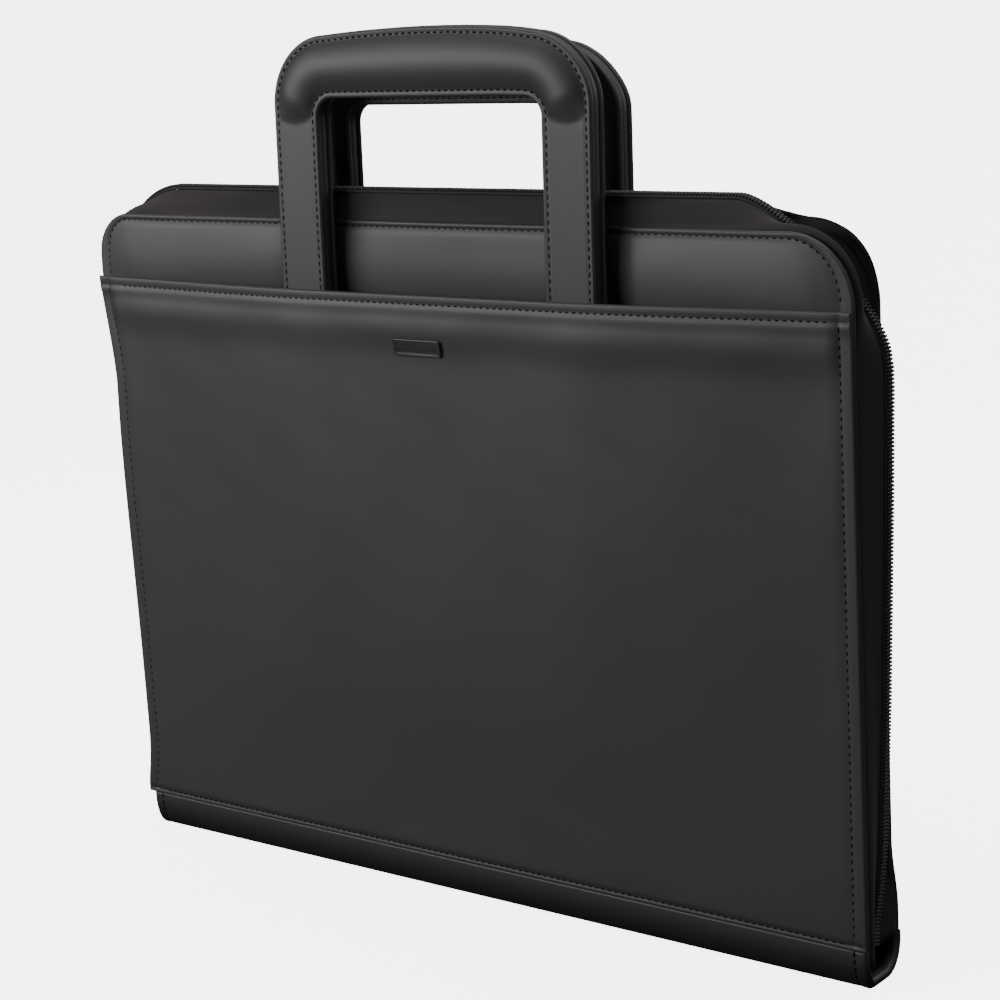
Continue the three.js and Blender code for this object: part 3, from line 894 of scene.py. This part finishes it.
def spine_stitches(s, hand):
    """The side rows' last stitches, down the spine's front and back near one end."""
    path = spine_section(s, 0)
    length = arc_length(path)[-1]
    made = []
    for at in (np.arange(1.5, 14, s.stitch), length - np.arange(1.5, 14, s.stitch)):
        section = resample(path, at)
        ahead = resample(path, at + 0.3)
        x = np.full(len(at), hand * (s.half - SIDE_ROW))
        along = np.stack([0 * x, *(ahead - section).T], axis=1)
        out = np.cross(along, [1, 0, 0])
        out = out * np.sign(np.sum(out[:, 1:] * (section - [0, SPINE_CORNER]), axis=1, keepdims=True))
        centre = np.stack([x, *section.T], axis=1) - 0.2 * unit(out)
        made.append(stitches(centre, along, out))
    return made


# The zip's way round the case and the gussets that carry it


def corner_way(s, hand):
    """The way round a top corner: the cover's edge with the outward direction, and the ridge, a
    cubic Bezier curve, both at even shares of their length."""
    start_share, start_pull, end_share, end_pull = RIDGE_CORNERS[hand]
    top = s.top + RIDGE_RISE
    side_x = s.half + RIDGE_REACH
    r = CORNER_RADIUS
    start = np.array([side_x - start_share * r, top])
    end = np.array([side_x, top - end_share * r])
    handles = (start, start + [start_pull * r, 0], end + [0, end_pull * r], end)
    t = np.linspace(0, 1, 200)[:, None]
    weights = ((1 - t) ** 3, 3 * t * (1 - t) ** 2, 3 * t**2 * (1 - t), t**3)
    curve = sum(w * p for w, p in zip(weights, handles))
    turn = np.linspace(np.pi / 2, 0, 80)
    arc = np.stack([s.half - r + r * np.cos(turn), s.top - r + r * np.sin(turn)], 1)
    edge = np.concatenate([[[start[0], s.top]], arc, [[s.half, end[1]]]])
    share = np.linspace(0, 1, 90)
    edge = resample(edge, share * arc_length(edge)[-1])
    curve = resample(curve, share * arc_length(curve)[-1])
    tangent = unit(np.gradient(edge, axis=0))
    flip = np.array([hand, 1])
    way = np.concatenate(
        [
            edge * flip,
            np.stack([-hand * tangent[:, 1], tangent[:, 0]], 1),
            curve * flip,
            (ZIP_SIDE_DEPTH * ease(0, 1, share))[:, None],
            share[:, None],
        ],
        axis=1,
    )
    return way if hand > 0 else way[::-1]


def side_way(s, hand, side):
    """The way up a side: straight edge, ridge by SIDE_RIDGE, slanting at the tail."""
    end_share = RIDGE_CORNERS[hand][2]
    z = np.linspace(TAIL_HEIGHT, s.top + RIDGE_RISE - end_share * CORNER_RADIUS, 90)[:-1]
    reach = RIDGE_REACH * np.interp(z / s.top, *SIDE_RIDGE)
    tail = 1 - ease(TAIL_HEIGHT, TAIL_HEIGHT + TAIL_LENGTH, z)
    one = np.ones_like(z)
    way = np.stack(
        [
            hand * s.half * one,
            z + side * TAIL_SLANT * tail,
            hand * one,
            0 * z,
            hand * (s.half + reach),
            z,
            ZIP_SIDE_DEPTH * (1 - tail),
            one,
        ],
        axis=1,
    )
    return way if hand < 0 else way[::-1]


def zip_way(s, side, step):
    """The whole way from the left tail over the top to the right tail, with its points a step
    apart: edge, outward direction, ridge, the zip's depth and the share of the way round a corner."""
    left, right = corner_way(s, -1), corner_way(s, 1)
    x = np.linspace(left[-1, 0], right[0, 0], 60)[1:-1]
    one = np.ones_like(x)
    top = np.stack(
        [x, s.top * one, 0 * x, one, x, (s.top + RIDGE_RISE) * one, 0 * x, 0 * x], axis=1)
    way = np.concatenate([side_way(s, -1, side), left, top, right, side_way(s, 1, side)])
    length = arc_length(0.5 * (way[:, 0:2] + way[:, 4:6]))
    at = np.linspace(0, length[-1], round(length[-1] / step) + 1)
    way = np.stack([np.interp(at, length, way[:, i]) for i in range(8)], axis=1)
    way[:, 2:4] = unit(way[:, 2:4])
    return way, at


def lay_out(way, side, out, depth, drift):
    """Points at a distance out from the edge and a depth from the middle plane, moved by a share of
    the ridge's drift along the edge."""
    edge, outward, ridge = way[:, None, 0:2], way[:, None, 2:4], way[:, None, 4:6]
    rise = np.sum((ridge - edge) * outward, axis=-1, keepdims=True)
    slip = ridge - edge - outward * rise
    place = edge + outward * out[..., None] + slip * drift[..., None]
    return np.stack([place[..., 0], side * depth, place[..., 1]], axis=-1)


def gusset_part(s, side):
    """A gusset's skin: from inside the cover's edge over a soft crest and down to the zip, as a
    rounded section of six points carried round the case."""
    way, at = zip_way(s, side, WAY_STEP)
    edge, outward, ridge = way[:, 0:2], way[:, 2:4], way[:, 4:6]
    rise = np.sum((ridge - edge) * outward, axis=1)
    root = edge - outward * GUSSET_TUCK
    root_depth = cover_face(s, side, root[:, 0], root[:, 1]) - COVER_WALL - GUSSET_SEAT
    middle = side * way[:, 6]
    seat_out = rise - COIL_HEIGHT - GAP
    seat = middle + np.minimum(COIL_WIDTH / 2 + GAP, SEAT_SHARE * (root_depth - middle))
    columns = []
    low_crest = lerp(-GUSSET_TUCK, seat_out, 0.22)
    left, right = (np.interp(way[:, 7], CREST_SHARES, stand) for stand in CREST_STAND[side])
    lift = np.maximum(GUSSET_CREST, np.where(way[:, 0] < 0, left, right) - low_crest)
    for share_out, share_depth, crest in GUSSET_SECTION:
        columns.append(
            [
                lerp(-GUSSET_TUCK, seat_out, share_out) + crest * lift,
                lerp(seat, root_depth, share_depth),
                np.full_like(rise, share_out),
            ]
        )
    columns.append([seat_out, middle + GAP / 2, np.ones_like(rise)])
    section = corner_cut(np.array(columns).transpose(2, 0, 1))
    across = arc_length(section[len(section) // 2, :, :2])
    face = lay_out(way, side, section[..., 0], section[..., 1], section[..., 2])
    wave = 0.3 * ripple(at[:, None] + 0 * across, 6 * across[None] + 0 * at[:, None], 31 + side)
    n = normals(face)
    sign = np.sign(np.sum(n[..., 1] * side))
    n = n * sign
    ends = np.minimum(at, at[-1] - at)[:, None]
    edges = np.minimum(across, across[-1] - across)[None]
    rim = np.minimum(ends + 0 * edges, edges + 0 * ends)
    profile = rounded(rim, 0.5)
    half = GUSSET_WALL / 2
    calm = ease(0.5, 3, rim)
    soft = (wave * calm - 0.3 * calm)[..., None]
    centre = face + n * (soft - half)
    outer = centre + n * (half * profile)[..., None]
    inner = centre - n * (half * profile)[..., None]
    weave = np.stack([at[:, None] + 0 * across, across[None] + 0 * at[:, None], 0 * wave], axis=-1)
    return skin(outer, inner, weave=weave)


def ridge_line(s, step):
    """The coil's line: points a step apart, their directions along and outwards."""
    way, at = zip_way(s, 0, step)
    outward, ridge = way[:, 2:4], way[:, 4:6]
    place = np.stack([ridge[:, 0], way[:, 6], ridge[:, 1]], axis=1)
    along = unit(np.gradient(place, axis=0))
    out = np.stack([outward[:, 0], 0 * at, outward[:, 1]], axis=1)
    out = unit(out - along * np.sum(out * along, axis=1, keepdims=True))
    return place, along, out


def tape_part(s):
    """The zip's tape under the teeth: a shallow closed band, crowned across."""
    place, along, out = ridge_line(s, WAY_STEP)
    share = np.array([0, 0.04, 0.14, 0.3, 0.5, 0.7, 0.86, 0.96, 1])
    over = np.cross(out, along)
    width = (share - 0.5) * COIL_WIDTH
    crown = -COIL_HEIGHT + 0.05 + 0.3 * rounded(np.minimum(share, 1 - share), 0.5)
    face = place[:, None] + over[:, None] * width[:, None] + out[:, None] * crown[:, None]
    ends = np.minimum(np.arange(len(place)), np.arange(len(place))[::-1])[:, None] * WAY_STEP
    edges = (np.minimum(share, 1 - share) * COIL_WIDTH)[None]
    profile = rounded(np.minimum(ends + 0 * edges, edges + 0 * ends), 0.4)
    shift = out[:, None] * (0.45 * profile)[..., None]
    weave = np.stack(np.broadcast_arrays(ends, edges, 0 * ends), axis=-1)
    return skin(face + shift, face - shift, 0, weave=weave)


def teeth_parts(s):
    """The coil's teeth: two rows of slanted beads over the tape, half a pitch apart."""
    place, along, out = ridge_line(s, s.tooth / 2)
    over = np.cross(out, along)
    made = []
    for row, hand in ((0, -1), (1, 1)):
        pick = slice(2 + row, len(place) - 2, 2)
        centre = place[pick] + over[pick] * hand * 0.95 - out[pick] * 0.8
        slant = over[pick] + hand * 0.18 * along[pick]
        made.append(beads(centre, slant, out[pick], (1.25, 0.6, 0.75), 1, rings=4, sides=6, bend=0.1))
    return made


# The handles


def handle_way(s):
    """The handle's outer and inner edge, station by station: two straight legs, two round corners
    and a grip that arches a little."""
    r, q = HANDLE_OUTER_RADIUS, HANDLE_INNER_RADIUS
    outer_x = s.half_handle - r
    outer_z = s.handle_top - HANDLE_ARCH - r
    inner_x = s.half_handle - LEG_WIDTH - q
    inner_z = s.handle_top - GRIP_HEIGHT - q
    leg = graded(LEG_BOTTOM, PAD_END + PAD_FADE, 4.0)[:-1]
    fade = np.linspace(PAD_END - 3, PAD_END + PAD_FADE, 14)
    leg = np.concatenate([leg[leg < fade[0] - 1], fade])
    turn = np.linspace(0, np.pi / 2, 26)[1:]
    share = np.linspace(1, 0, 18)[1:]
    outer = np.concatenate(
        [
            np.stack([0 * leg + s.half_handle, leg], 1),
            np.stack([outer_x + r * np.cos(turn), outer_z + r * np.sin(turn)], 1),
            np.stack([outer_x * share, s.handle_top - HANDLE_ARCH * share**2], 1),
        ]
    )
    inner = np.concatenate(
        [
            np.stack([0 * leg + s.half_handle - LEG_WIDTH, np.minimum(leg, inner_z)], 1),
            np.stack([inner_x + q * np.cos(turn), inner_z + q * np.sin(turn)], 1),
            np.stack([inner_x * share, 0 * share + s.handle_top - GRIP_HEIGHT], 1),
        ]
    )
    flip = np.array([-1, 1])
    outer = np.concatenate([outer, (outer * flip)[-2::-1]])
    inner = np.concatenate([inner, (inner * flip)[-2::-1]])
    return outer, inner


def handle_lean(s, points, side):
    """The handles' small tilt: tops to the right, and the front one's top a little back."""
    high = points[..., 2]
    moved = points.copy()
    moved[..., 0] += 0.021 * (high - 300)
    to_right = ease(30, s.half_handle, points[..., 0])
    moved[..., 2] -= HANDLE_DROOP[side] * to_right * ease(PAD_END, PAD_END + 26, high)
    if side < 0:
        moved[..., 1] -= 0.9 * ease(s.handle_top, s.lip, high)
    return moved


def handle_grid(s, side, shares, inset=0.0):
    """A handle's grid in its own plane, the distance in from its two edges and along it, and how
    far up the padding is at each place."""
    outer, inner = handle_way(s)
    width = np.linalg.norm(inner - outer, axis=1)[:, None]
    at = arc_length(0.5 * (outer + inner))
    cut = inset / width
    share = cut + (1 - 2 * cut) * shares[None]
    place = outer[:, None] + (inner - outer)[:, None] * share[..., None]
    edges = np.minimum(shares, 1 - shares)[None] * (width - 2 * inset)
    round_end = 3.0 * (2 * shares[None] - 1) ** 2
    leg_z = np.maximum(outer[:, 1], inner[:, 1])[:, None]
    pad = ease(PAD_END + round_end, PAD_END + round_end + PAD_SLOPE, leg_z)
    if side > 0:
        place = place - [0, BACK_HANDLE_DROP]
    return place, edges, at, pad, width


def strap_shares(width):
    """Shares across the strap, close together by both edges."""
    near = RIM[RIM < 6] / width
    middle = np.linspace(near[-1], 1 - near[-1], 9)[1:-1]
    return np.concatenate([near, middle, 1 - near[::-1]])


def handle_layer(s, side, low, high, inset, radius, padded=False):
    """One layer of a handle between two depths, with round edges; the face's padding crowns it by
    a sine raised to 0.75, and its stitch rows are pressed in."""
    shares = strap_shares(LEG_WIDTH)
    place, edges, at, pad, width = handle_grid(s, side, shares, inset)
    ends = np.minimum(at, at[-1] - at)[:, None]
    profile = np.minimum(rounded(edges, radius), rounded(ends + 0 * edges, 1.2))
    profile[:, 0] = profile[:, -1] = 0
    centre = (low + high) / 2
    half = (high - low) / 2
    crown = 0 * edges
    if padded:
        inside = np.clip((edges - 3.0) / (width / 2 - 3.0), 0, 1)
        crown = PAD_RISE * pad * np.sin(np.pi / 2 * inside) ** 0.75
        crown = crown - 0.3 * bell(edges - HANDLE_ROW, 0.7)
        crown = crown - 0.35 * bell(pad - 0.08, 0.08) * ease(3.0, 5.0, edges)
    face = centre + half * profile + crown
    back = centre - half * profile
    outer, inner = (
        handle_lean(s, np.stack([place[..., 0], side * depth, place[..., 1]], axis=-1), side)
        for depth in (face, back)
    )
    pale_edge = ease(1.2, 0.1, edges) if padded else 0.6 * ease(1.0, 0.1, edges)
    level = np.stack([at[:, None] / s.stitch + 0 * edges, edges - HANDLE_ROW, pale_edge], axis=-1)
    far = np.full_like(edges, FAR)
    upright = np.stack([far, far, 0 * far], axis=-1)
    return skin(outer, inner, seam_level=level, seam_upright=upright)


def handle_stitches(s, side, front):
    """Stitches along both edges of a handle's face and of its lining."""
    outer, inner = handle_way(s)
    if side > 0:
        outer, inner = outer - [0, BACK_HANDLE_DROP], inner - [0, BACK_HANDLE_DROP]
    across = unit(inner - outer)
    made = []
    for base, way in ((outer, 1), (inner, -1)):
        for depth, out in ((front - 0.3, 1), (PINCH_DEPTH + GAP + 0.15, -1)):
            line = base + way * HANDLE_ROW * across
            path = np.stack([line[:, 0], 0 * line[:, 0] + side * depth, line[:, 1]], axis=1)
            path = handle_lean(s, path, side)
            at = np.arange(s.stitch, arc_length(path)[-1] - s.stitch, s.stitch)
            centre = resample(path, at)
            along = resample(path, at + 0.5) - resample(path, at - 0.5)
            facing = np.zeros_like(centre)
            facing[:, 1] = side * out
            made.append(stitches(centre, along, facing))
    return made


def row_on_face(s, side, x, z, face):
    """Stitches at x and z, lying on a face given as a depth for x and z."""
    centre = np.stack([x, side * (face(x, z) - STITCH_SINK), z - sag(s, x, z)], axis=1)
    facing = np.zeros_like(centre)
    facing[:, 1] = side
    return stitches(centre, np.gradient(centre, axis=0), facing)


def level_stitches(s, side, height, face, margin):
    """A row along X at a height, lying on a face given as a depth for x and z."""
    reach = s.half - margin
    x = np.arange(np.ceil(-reach / s.stitch), np.floor(reach / s.stitch) + 1) * s.stitch
    z = np.full_like(x, height)
    return row_on_face(s, side, x, z, face)


def cover_row(s, side, low, face):
    """The row up a cover's left side, round its corners over the top and down its right side."""
    turn = np.linspace(0, np.pi / 2, 40)
    halves = []
    for hand in (-1, 1):
        sagged = side < 0 and hand < 0
        radius = SAGGED_CORNER if sagged else CORNER_RADIUS
        up = np.arange(low, s.top - radius, 1.0)
        bend = radius - lerp(SIDE_ROW, TOP_ROW, ease(0, np.pi / 2, turn))
        z = np.append(up, s.top - radius + bend * np.sin(turn))
        inwards = np.append(np.full(len(up), SIDE_ROW), radius - bend * np.cos(turn))
        reach = s.half + (wave_out(s, z) if sagged else 0) - inwards
        halves.append(np.stack([hand * reach, z], axis=1))
    path = np.concatenate([halves[0], halves[1][::-1]])
    x, z = resample(path, np.arange(0, arc_length(path)[-1], s.stitch)).T
    return row_on_face(s, side, x, z, face)


def upright_stitches(s, side, hand, low, high, face, narrow=0.0):
    """A row up one side, a fixed distance in from the edge."""
    z = np.arange(np.ceil(low / s.stitch), np.floor(high / s.stitch) + 1) * s.stitch
    reach = edge_x(s, hand, side, z) - narrow
    x = hand * reach * (1 - SIDE_ROW / s.half)
    return row_on_face(s, side, x, z, face)


def plate_part(s):
    """The blank plate: a rounded rectangle that lies on the panel, crowned at its rims."""
    width, height, centre_x, centre_z = PLATE
    near = np.array([0, 0.05, 0.15, 0.3, 0.5, 0.8, 1.2])
    u = np.concatenate([near, np.linspace(1.2, width - 1.2, 14)[1:-1], width - near[::-1]]) - width / 2
    v = np.concatenate([near, np.linspace(1.2, height - 1.2, 6)[1:-1], height - near[::-1]]) - height / 2
    into = np.clip(np.abs(v) - (height / 2 - PLATE_CORNER), 0, PLATE_CORNER)
    inset = PLATE_CORNER - np.sqrt(PLATE_CORNER**2 - into**2)
    x = centre_x + u[None] * (1 - inset[:, None] / (width / 2))
    z = centre_z + v[:, None] + 0 * x
    rim = np.minimum((width / 2 - np.abs(u))[None], (height / 2 - np.abs(v))[:, None])
    face = panel_outside(s, FRONT, x, z) + PLATE_WALL + 0.1
    face = face - 0.12 * ease(0.9, 1.2, rim)
    middle = np.stack([x, FRONT * (face - PLATE_WALL / 2), z - sag(s, x, z)], axis=-1)
    return skin(*swelled(middle, PLATE_WALL / 2, rounded(rim, 0.35)))


def block(centre, half, squareness=0.45, rings=18, sides=32):
    """A rounded block: a superellipsoid, a ball whose sines and cosines are raised to a power."""
    down = np.linspace(0, np.pi, rings + 2)[1:-1, None]
    turn = np.linspace(0, 2 * np.pi, sides, endpoint=False)[None]
    def power(v):
        return np.sign(v) * np.abs(v) ** squareness
    x = power(np.sin(down)) * power(np.cos(turn))
    y = power(np.sin(down)) * power(np.sin(turn))
    z = power(np.cos(down)) + 0 * x
    points = np.concatenate([np.stack([x, y, z], -1).reshape(-1, 3), [[0, 0, 1], [0, 0, -1]]])
    faces = ball_faces(rings, sides)
    return part(np.array(centre) + points * np.array(half), faces)


def slider_parts(s):
    """The slider on the left: two plates with a waist between them, a bridge over them and a pull
    with a round end that hangs from the bridge."""
    x = -(s.half + RIDGE_REACH * np.interp(SLIDER_HEIGHT / s.top, *SIDE_RIDGE)) - 0.4
    y, z = ZIP_SIDE_DEPTH, SLIDER_HEIGHT
    turn = np.linspace(0.15, np.pi - 0.15, 24)
    bridge = np.stack([x - 1.1 - 1.7 * np.sin(turn), y + 0 * turn, z + 3.2 * np.cos(turn)], 1)
    loop = np.linspace(0, 2 * np.pi, 41)
    pull = np.stack([x - 2.9 + 0 * loop, y + 1.7 * np.sin(loop), z - 7.5 + 8.5 * np.cos(loop)], 1)
    parts = [
        block((x - 0.6, y, z), (0.75, 3.4, 5.4)),
        block((x - 1.1, y, z + 2.2), (0.9, 2.2, 2.6)),
        block((x - 2.9, y, z - 13.5), (0.45, 2.3, 4.4), 0.6),
    ]
    for path in (bridge, pull):
        points, faces = tube(path, 0.55, 10, (0, 1, 0.01) if path is bridge else (1, 0, 0.01))
        parts.append(part(points, faces))
    return parts


class DOCUMENTCASE_OT_stage(Operator):
    """Makes the floor, the lights and the camera at the photograph's angle."""

    bl_idname = "document_case.stage"
    bl_label = "Stage"

    def execute(self, context):
        reach = np.linspace(-FLOOR_REACH, FLOOR_REACH, FLOOR_LINES)
        x, y = np.meshgrid(reach, reach)
        grid = np.stack([x, y, FLOOR_RISE * ease(*FLOOR_SLOPE, y)], axis=-1)
        faces = squares(np.arange(FLOOR_LINES**2).reshape(FLOOR_LINES, FLOOR_LINES))
        mesh = bpy.data.meshes.new("floor")
        mesh.from_pydata((grid.reshape(-1, 3) * MM).tolist(), [], faces.tolist())
        mesh.polygons.foreach_set("use_smooth", np.ones(len(mesh.polygons), bool))
        mesh.materials.append(finish("floor"))
        floor = bpy.data.objects.new("floor", mesh)
        context.scene.collection.objects.link(floor)
        floor.visible_glossy = False
        floor.visible_diffuse = False
        world = bpy.data.worlds.new("studio")
        world.use_nodes = True
        world.node_tree.nodes["Background"].inputs["Color"].default_value = (1, 1, 1, 1)
        world.node_tree.nodes["Background"].inputs["Strength"].default_value = 0.035
        context.scene.world = world
        for name, place, aim, size, power in LIGHTS:
            lamp = bpy.data.lights.new(name, "AREA")
            lamp.shape = "RECTANGLE"
            lamp.size, lamp.size_y = size
            lamp.energy = power
            light = bpy.data.objects.new(name, lamp)
            light.visible_camera = False
            away = unit(np.array(place) - np.array(aim))
            side = unit(np.cross((0, 1, 0) if abs(away[2]) > 0.99 else (0, 0, 1), away))
            turn = Matrix(np.stack([side, np.cross(away, side), away], 1).tolist()).to_4x4()
            light.matrix_world = Matrix.Translation(place) @ turn
            context.scene.collection.objects.link(light)

        yaw, pitch, roll = CAMERA_TURN
        back = np.array([np.sin(yaw) * np.cos(pitch), -np.cos(yaw) * np.cos(pitch), np.sin(pitch)])
        right = np.array([np.cos(yaw), np.sin(yaw), 0])
        up = np.cross(back, right)
        tilted = np.cos(roll) * right + np.sin(roll) * up
        upright = -np.sin(roll) * right + np.cos(roll) * up
        camera_data = bpy.data.cameras.new("camera")
        camera_data.lens = CAMERA_LENS
        camera_data.sensor_width = 36
        camera = bpy.data.objects.new("camera", camera_data)
        turn = Matrix(np.stack([tilted, upright, back], 1).tolist()).to_4x4()
        camera.matrix_world = Matrix.Translation(CAMERA_PLACE) @ turn
        context.scene.collection.objects.link(camera)
        context.scene.camera = camera
        return {"FINISHED"}


class DOCUMENTCASE_OT_covers(Operator):
    """Makes the two leather covers."""

    bl_idname = "document_case.covers"
    bl_label = "Covers"

    def execute(self, context):
        s = sizes()
        for name, side in (("front_cover", FRONT), ("back_cover", BACK)):
            build(f"{name}_leather", [cover_part(s, side)], ["leather"], "case", [name])
        return {"FINISHED"}


class DOCUMENTCASE_OT_pockets(Operator):
    """Makes the two leather pocket panels."""

    bl_idname = "document_case.pockets"
    bl_label = "Pockets"

    def execute(self, context):
        s = sizes()
        for name, side in (("front_pocket", FRONT), ("back_pocket", BACK)):
            build(f"{name}_leather", [pocket_part(s, side)], ["leather"], "case", [name])
        return {"FINISHED"}


class DOCUMENTCASE_OT_spine(Operator):
    """Makes the spine with its rolled ends."""

    bl_idname = "document_case.spine"
    bl_label = "Spine"

    def execute(self, context):
        build("spine_leather", [spine_part(sizes())], ["leather"], "case", ["spine"])
        return {"FINISHED"}


class DOCUMENTCASE_OT_gussets(Operator):
    """Makes the two nylon gussets."""

    bl_idname = "document_case.gussets"
    bl_label = "Gussets"

    def execute(self, context):
        s = sizes()
        for name, side in (("front_gusset", FRONT), ("back_gusset", BACK)):
            build(f"{name}_cloth", [gusset_part(s, side)], ["nylon"], "case", [name])
        return {"FINISHED"}


class DOCUMENTCASE_OT_zip(Operator):
    """Makes the zip's tape and its teeth."""

    bl_idname = "document_case.zip"
    bl_label = "Zip"

    def execute(self, context):
        s = sizes()
        parts = [tape_part(s), *teeth_parts(s)]
        build("zip_teeth", parts, ["nylon", "coil"], "case", ["zip_coil"])
        return {"FINISHED"}


class DOCUMENTCASE_OT_handles(Operator):
    """Makes both padded handles with their cores, linings and stitches."""

    bl_idname = "document_case.handles"
    bl_label = "Handles"

    def execute(self, context):
        s = sizes()
        back = PINCH_DEPTH + GAP
        front = back + HANDLE_THICKNESS
        for name, side in (("front_handle", FRONT), ("back_handle", BACK)):
            face = handle_layer(s, side, front - HIDE_WALL, front, 0, 1.1, padded=True)
            made = build(f"{name}_padded_face", [face], ["leather"], name, [f"{name}_face"])
            core = handle_layer(s, side, back + HIDE_WALL - 0.3, front - HIDE_WALL + 0.3, 0.55, 0.8)
            build(f"{name}_edge", [core], ["leather"], name, [f"{name}_core"])
            lining = handle_layer(s, side, back, back + HIDE_WALL, 0, 1.1)
            build(f"{name}_back_leather", [lining], ["leather"], name, [f"{name}_lining"])
            build(f"{name}_stitches", handle_stitches(s, side, front), ["thread"], name)
        return {"FINISHED"}


class DOCUMENTCASE_OT_stitches(Operator):
    """Sews the covers, the pocket panels and the spine."""

    bl_idname = "document_case.stitches"
    bl_label = "Stitches"

    def execute(self, context):
        s = sizes()
        for name, side in (("front", FRONT), ("back", BACK)):
            def cover(x, z, side=side):
                return cover_outside(s, side, x, z)

            def panel(x, z, side=side):
                return panel_outside(s, side, x, z)

            rows = [
                cover_row(s, side, s.lip + 1.5, cover),
                level_stitches(s, side, s.lip - LIP_ROW, panel, 7),
                level_stitches(s, side, s.seam + SEAM_ROW, panel, 7),
            ]
            for hand in (-1, 1):
                low, high = s.seam + SEAM_ROW + 2, s.lip - LIP_ROW - 2
                rows.append(upright_stitches(s, side, hand, low, high, panel, POCKET_NARROW[side]))
            build(f"{name}_stitches", rows, ["thread"], "case")
        ends = [row for hand in (-1, 1) for row in spine_stitches(s, hand)]
        build("spine_stitches", ends, ["thread"], "case")
        return {"FINISHED"}


class DOCUMENTCASE_OT_metal(Operator):
    """Makes the blank plate and the zip's slider with its pull."""

    bl_idname = "document_case.metal"
    bl_label = "Metal pieces"

    def execute(self, context):
        s = sizes()
        metal = ["dark_metal"]
        build("blank_plate", [plate_part(s)], metal, "case", ["badge_plate"])
        build("slider_and_pull", slider_parts(s), metal, "case", ["zip_slider"])
        return {"FINISHED"}


OPERATORS = (
    DOCUMENTCASE_OT_stage,
    DOCUMENTCASE_OT_covers,
    DOCUMENTCASE_OT_pockets,
    DOCUMENTCASE_OT_spine,
    DOCUMENTCASE_OT_gussets,
    DOCUMENTCASE_OT_zip,
    DOCUMENTCASE_OT_handles,
    DOCUMENTCASE_OT_stitches,
    DOCUMENTCASE_OT_metal,
)


class DOCUMENTCASE_PT_panel(Panel):
    """Lists the pieces of the document case in the sidebar."""

    bl_idname = "DOCUMENTCASE_PT_panel"
    bl_label = "Document case"
    bl_space_type = "VIEW_3D"
    bl_region_type = "UI"
    bl_category = "Document case"

    def draw(self, context):
        layout = self.layout
        for group in (context.scene.case_sizes, context.scene.case_colours):
            for key in group.__annotations__:
                layout.prop(group, key)
        for operator in OPERATORS:
            layout.operator(operator.bl_idname)


CLASSES = (CaseSizes, CaseColours, *OPERATORS, DOCUMENTCASE_PT_panel)


def register():
    for cls in CLASSES:
        bpy.utils.register_class(cls)
    bpy.types.Scene.case_sizes = PointerProperty(type=CaseSizes)
    bpy.types.Scene.case_colours = PointerProperty(type=CaseColours)


def unregister():
    del bpy.types.Scene.case_colours
    del bpy.types.Scene.case_sizes
    for cls in reversed(CLASSES):
        bpy.utils.unregister_class(cls)


def main():
    """Makes the whole scene."""
    register()
    for operator in OPERATORS:
        group, name = operator.bl_idname.split(".")
        getattr(getattr(bpy.ops, group), name)()


if __name__ == "__main__":
    main()
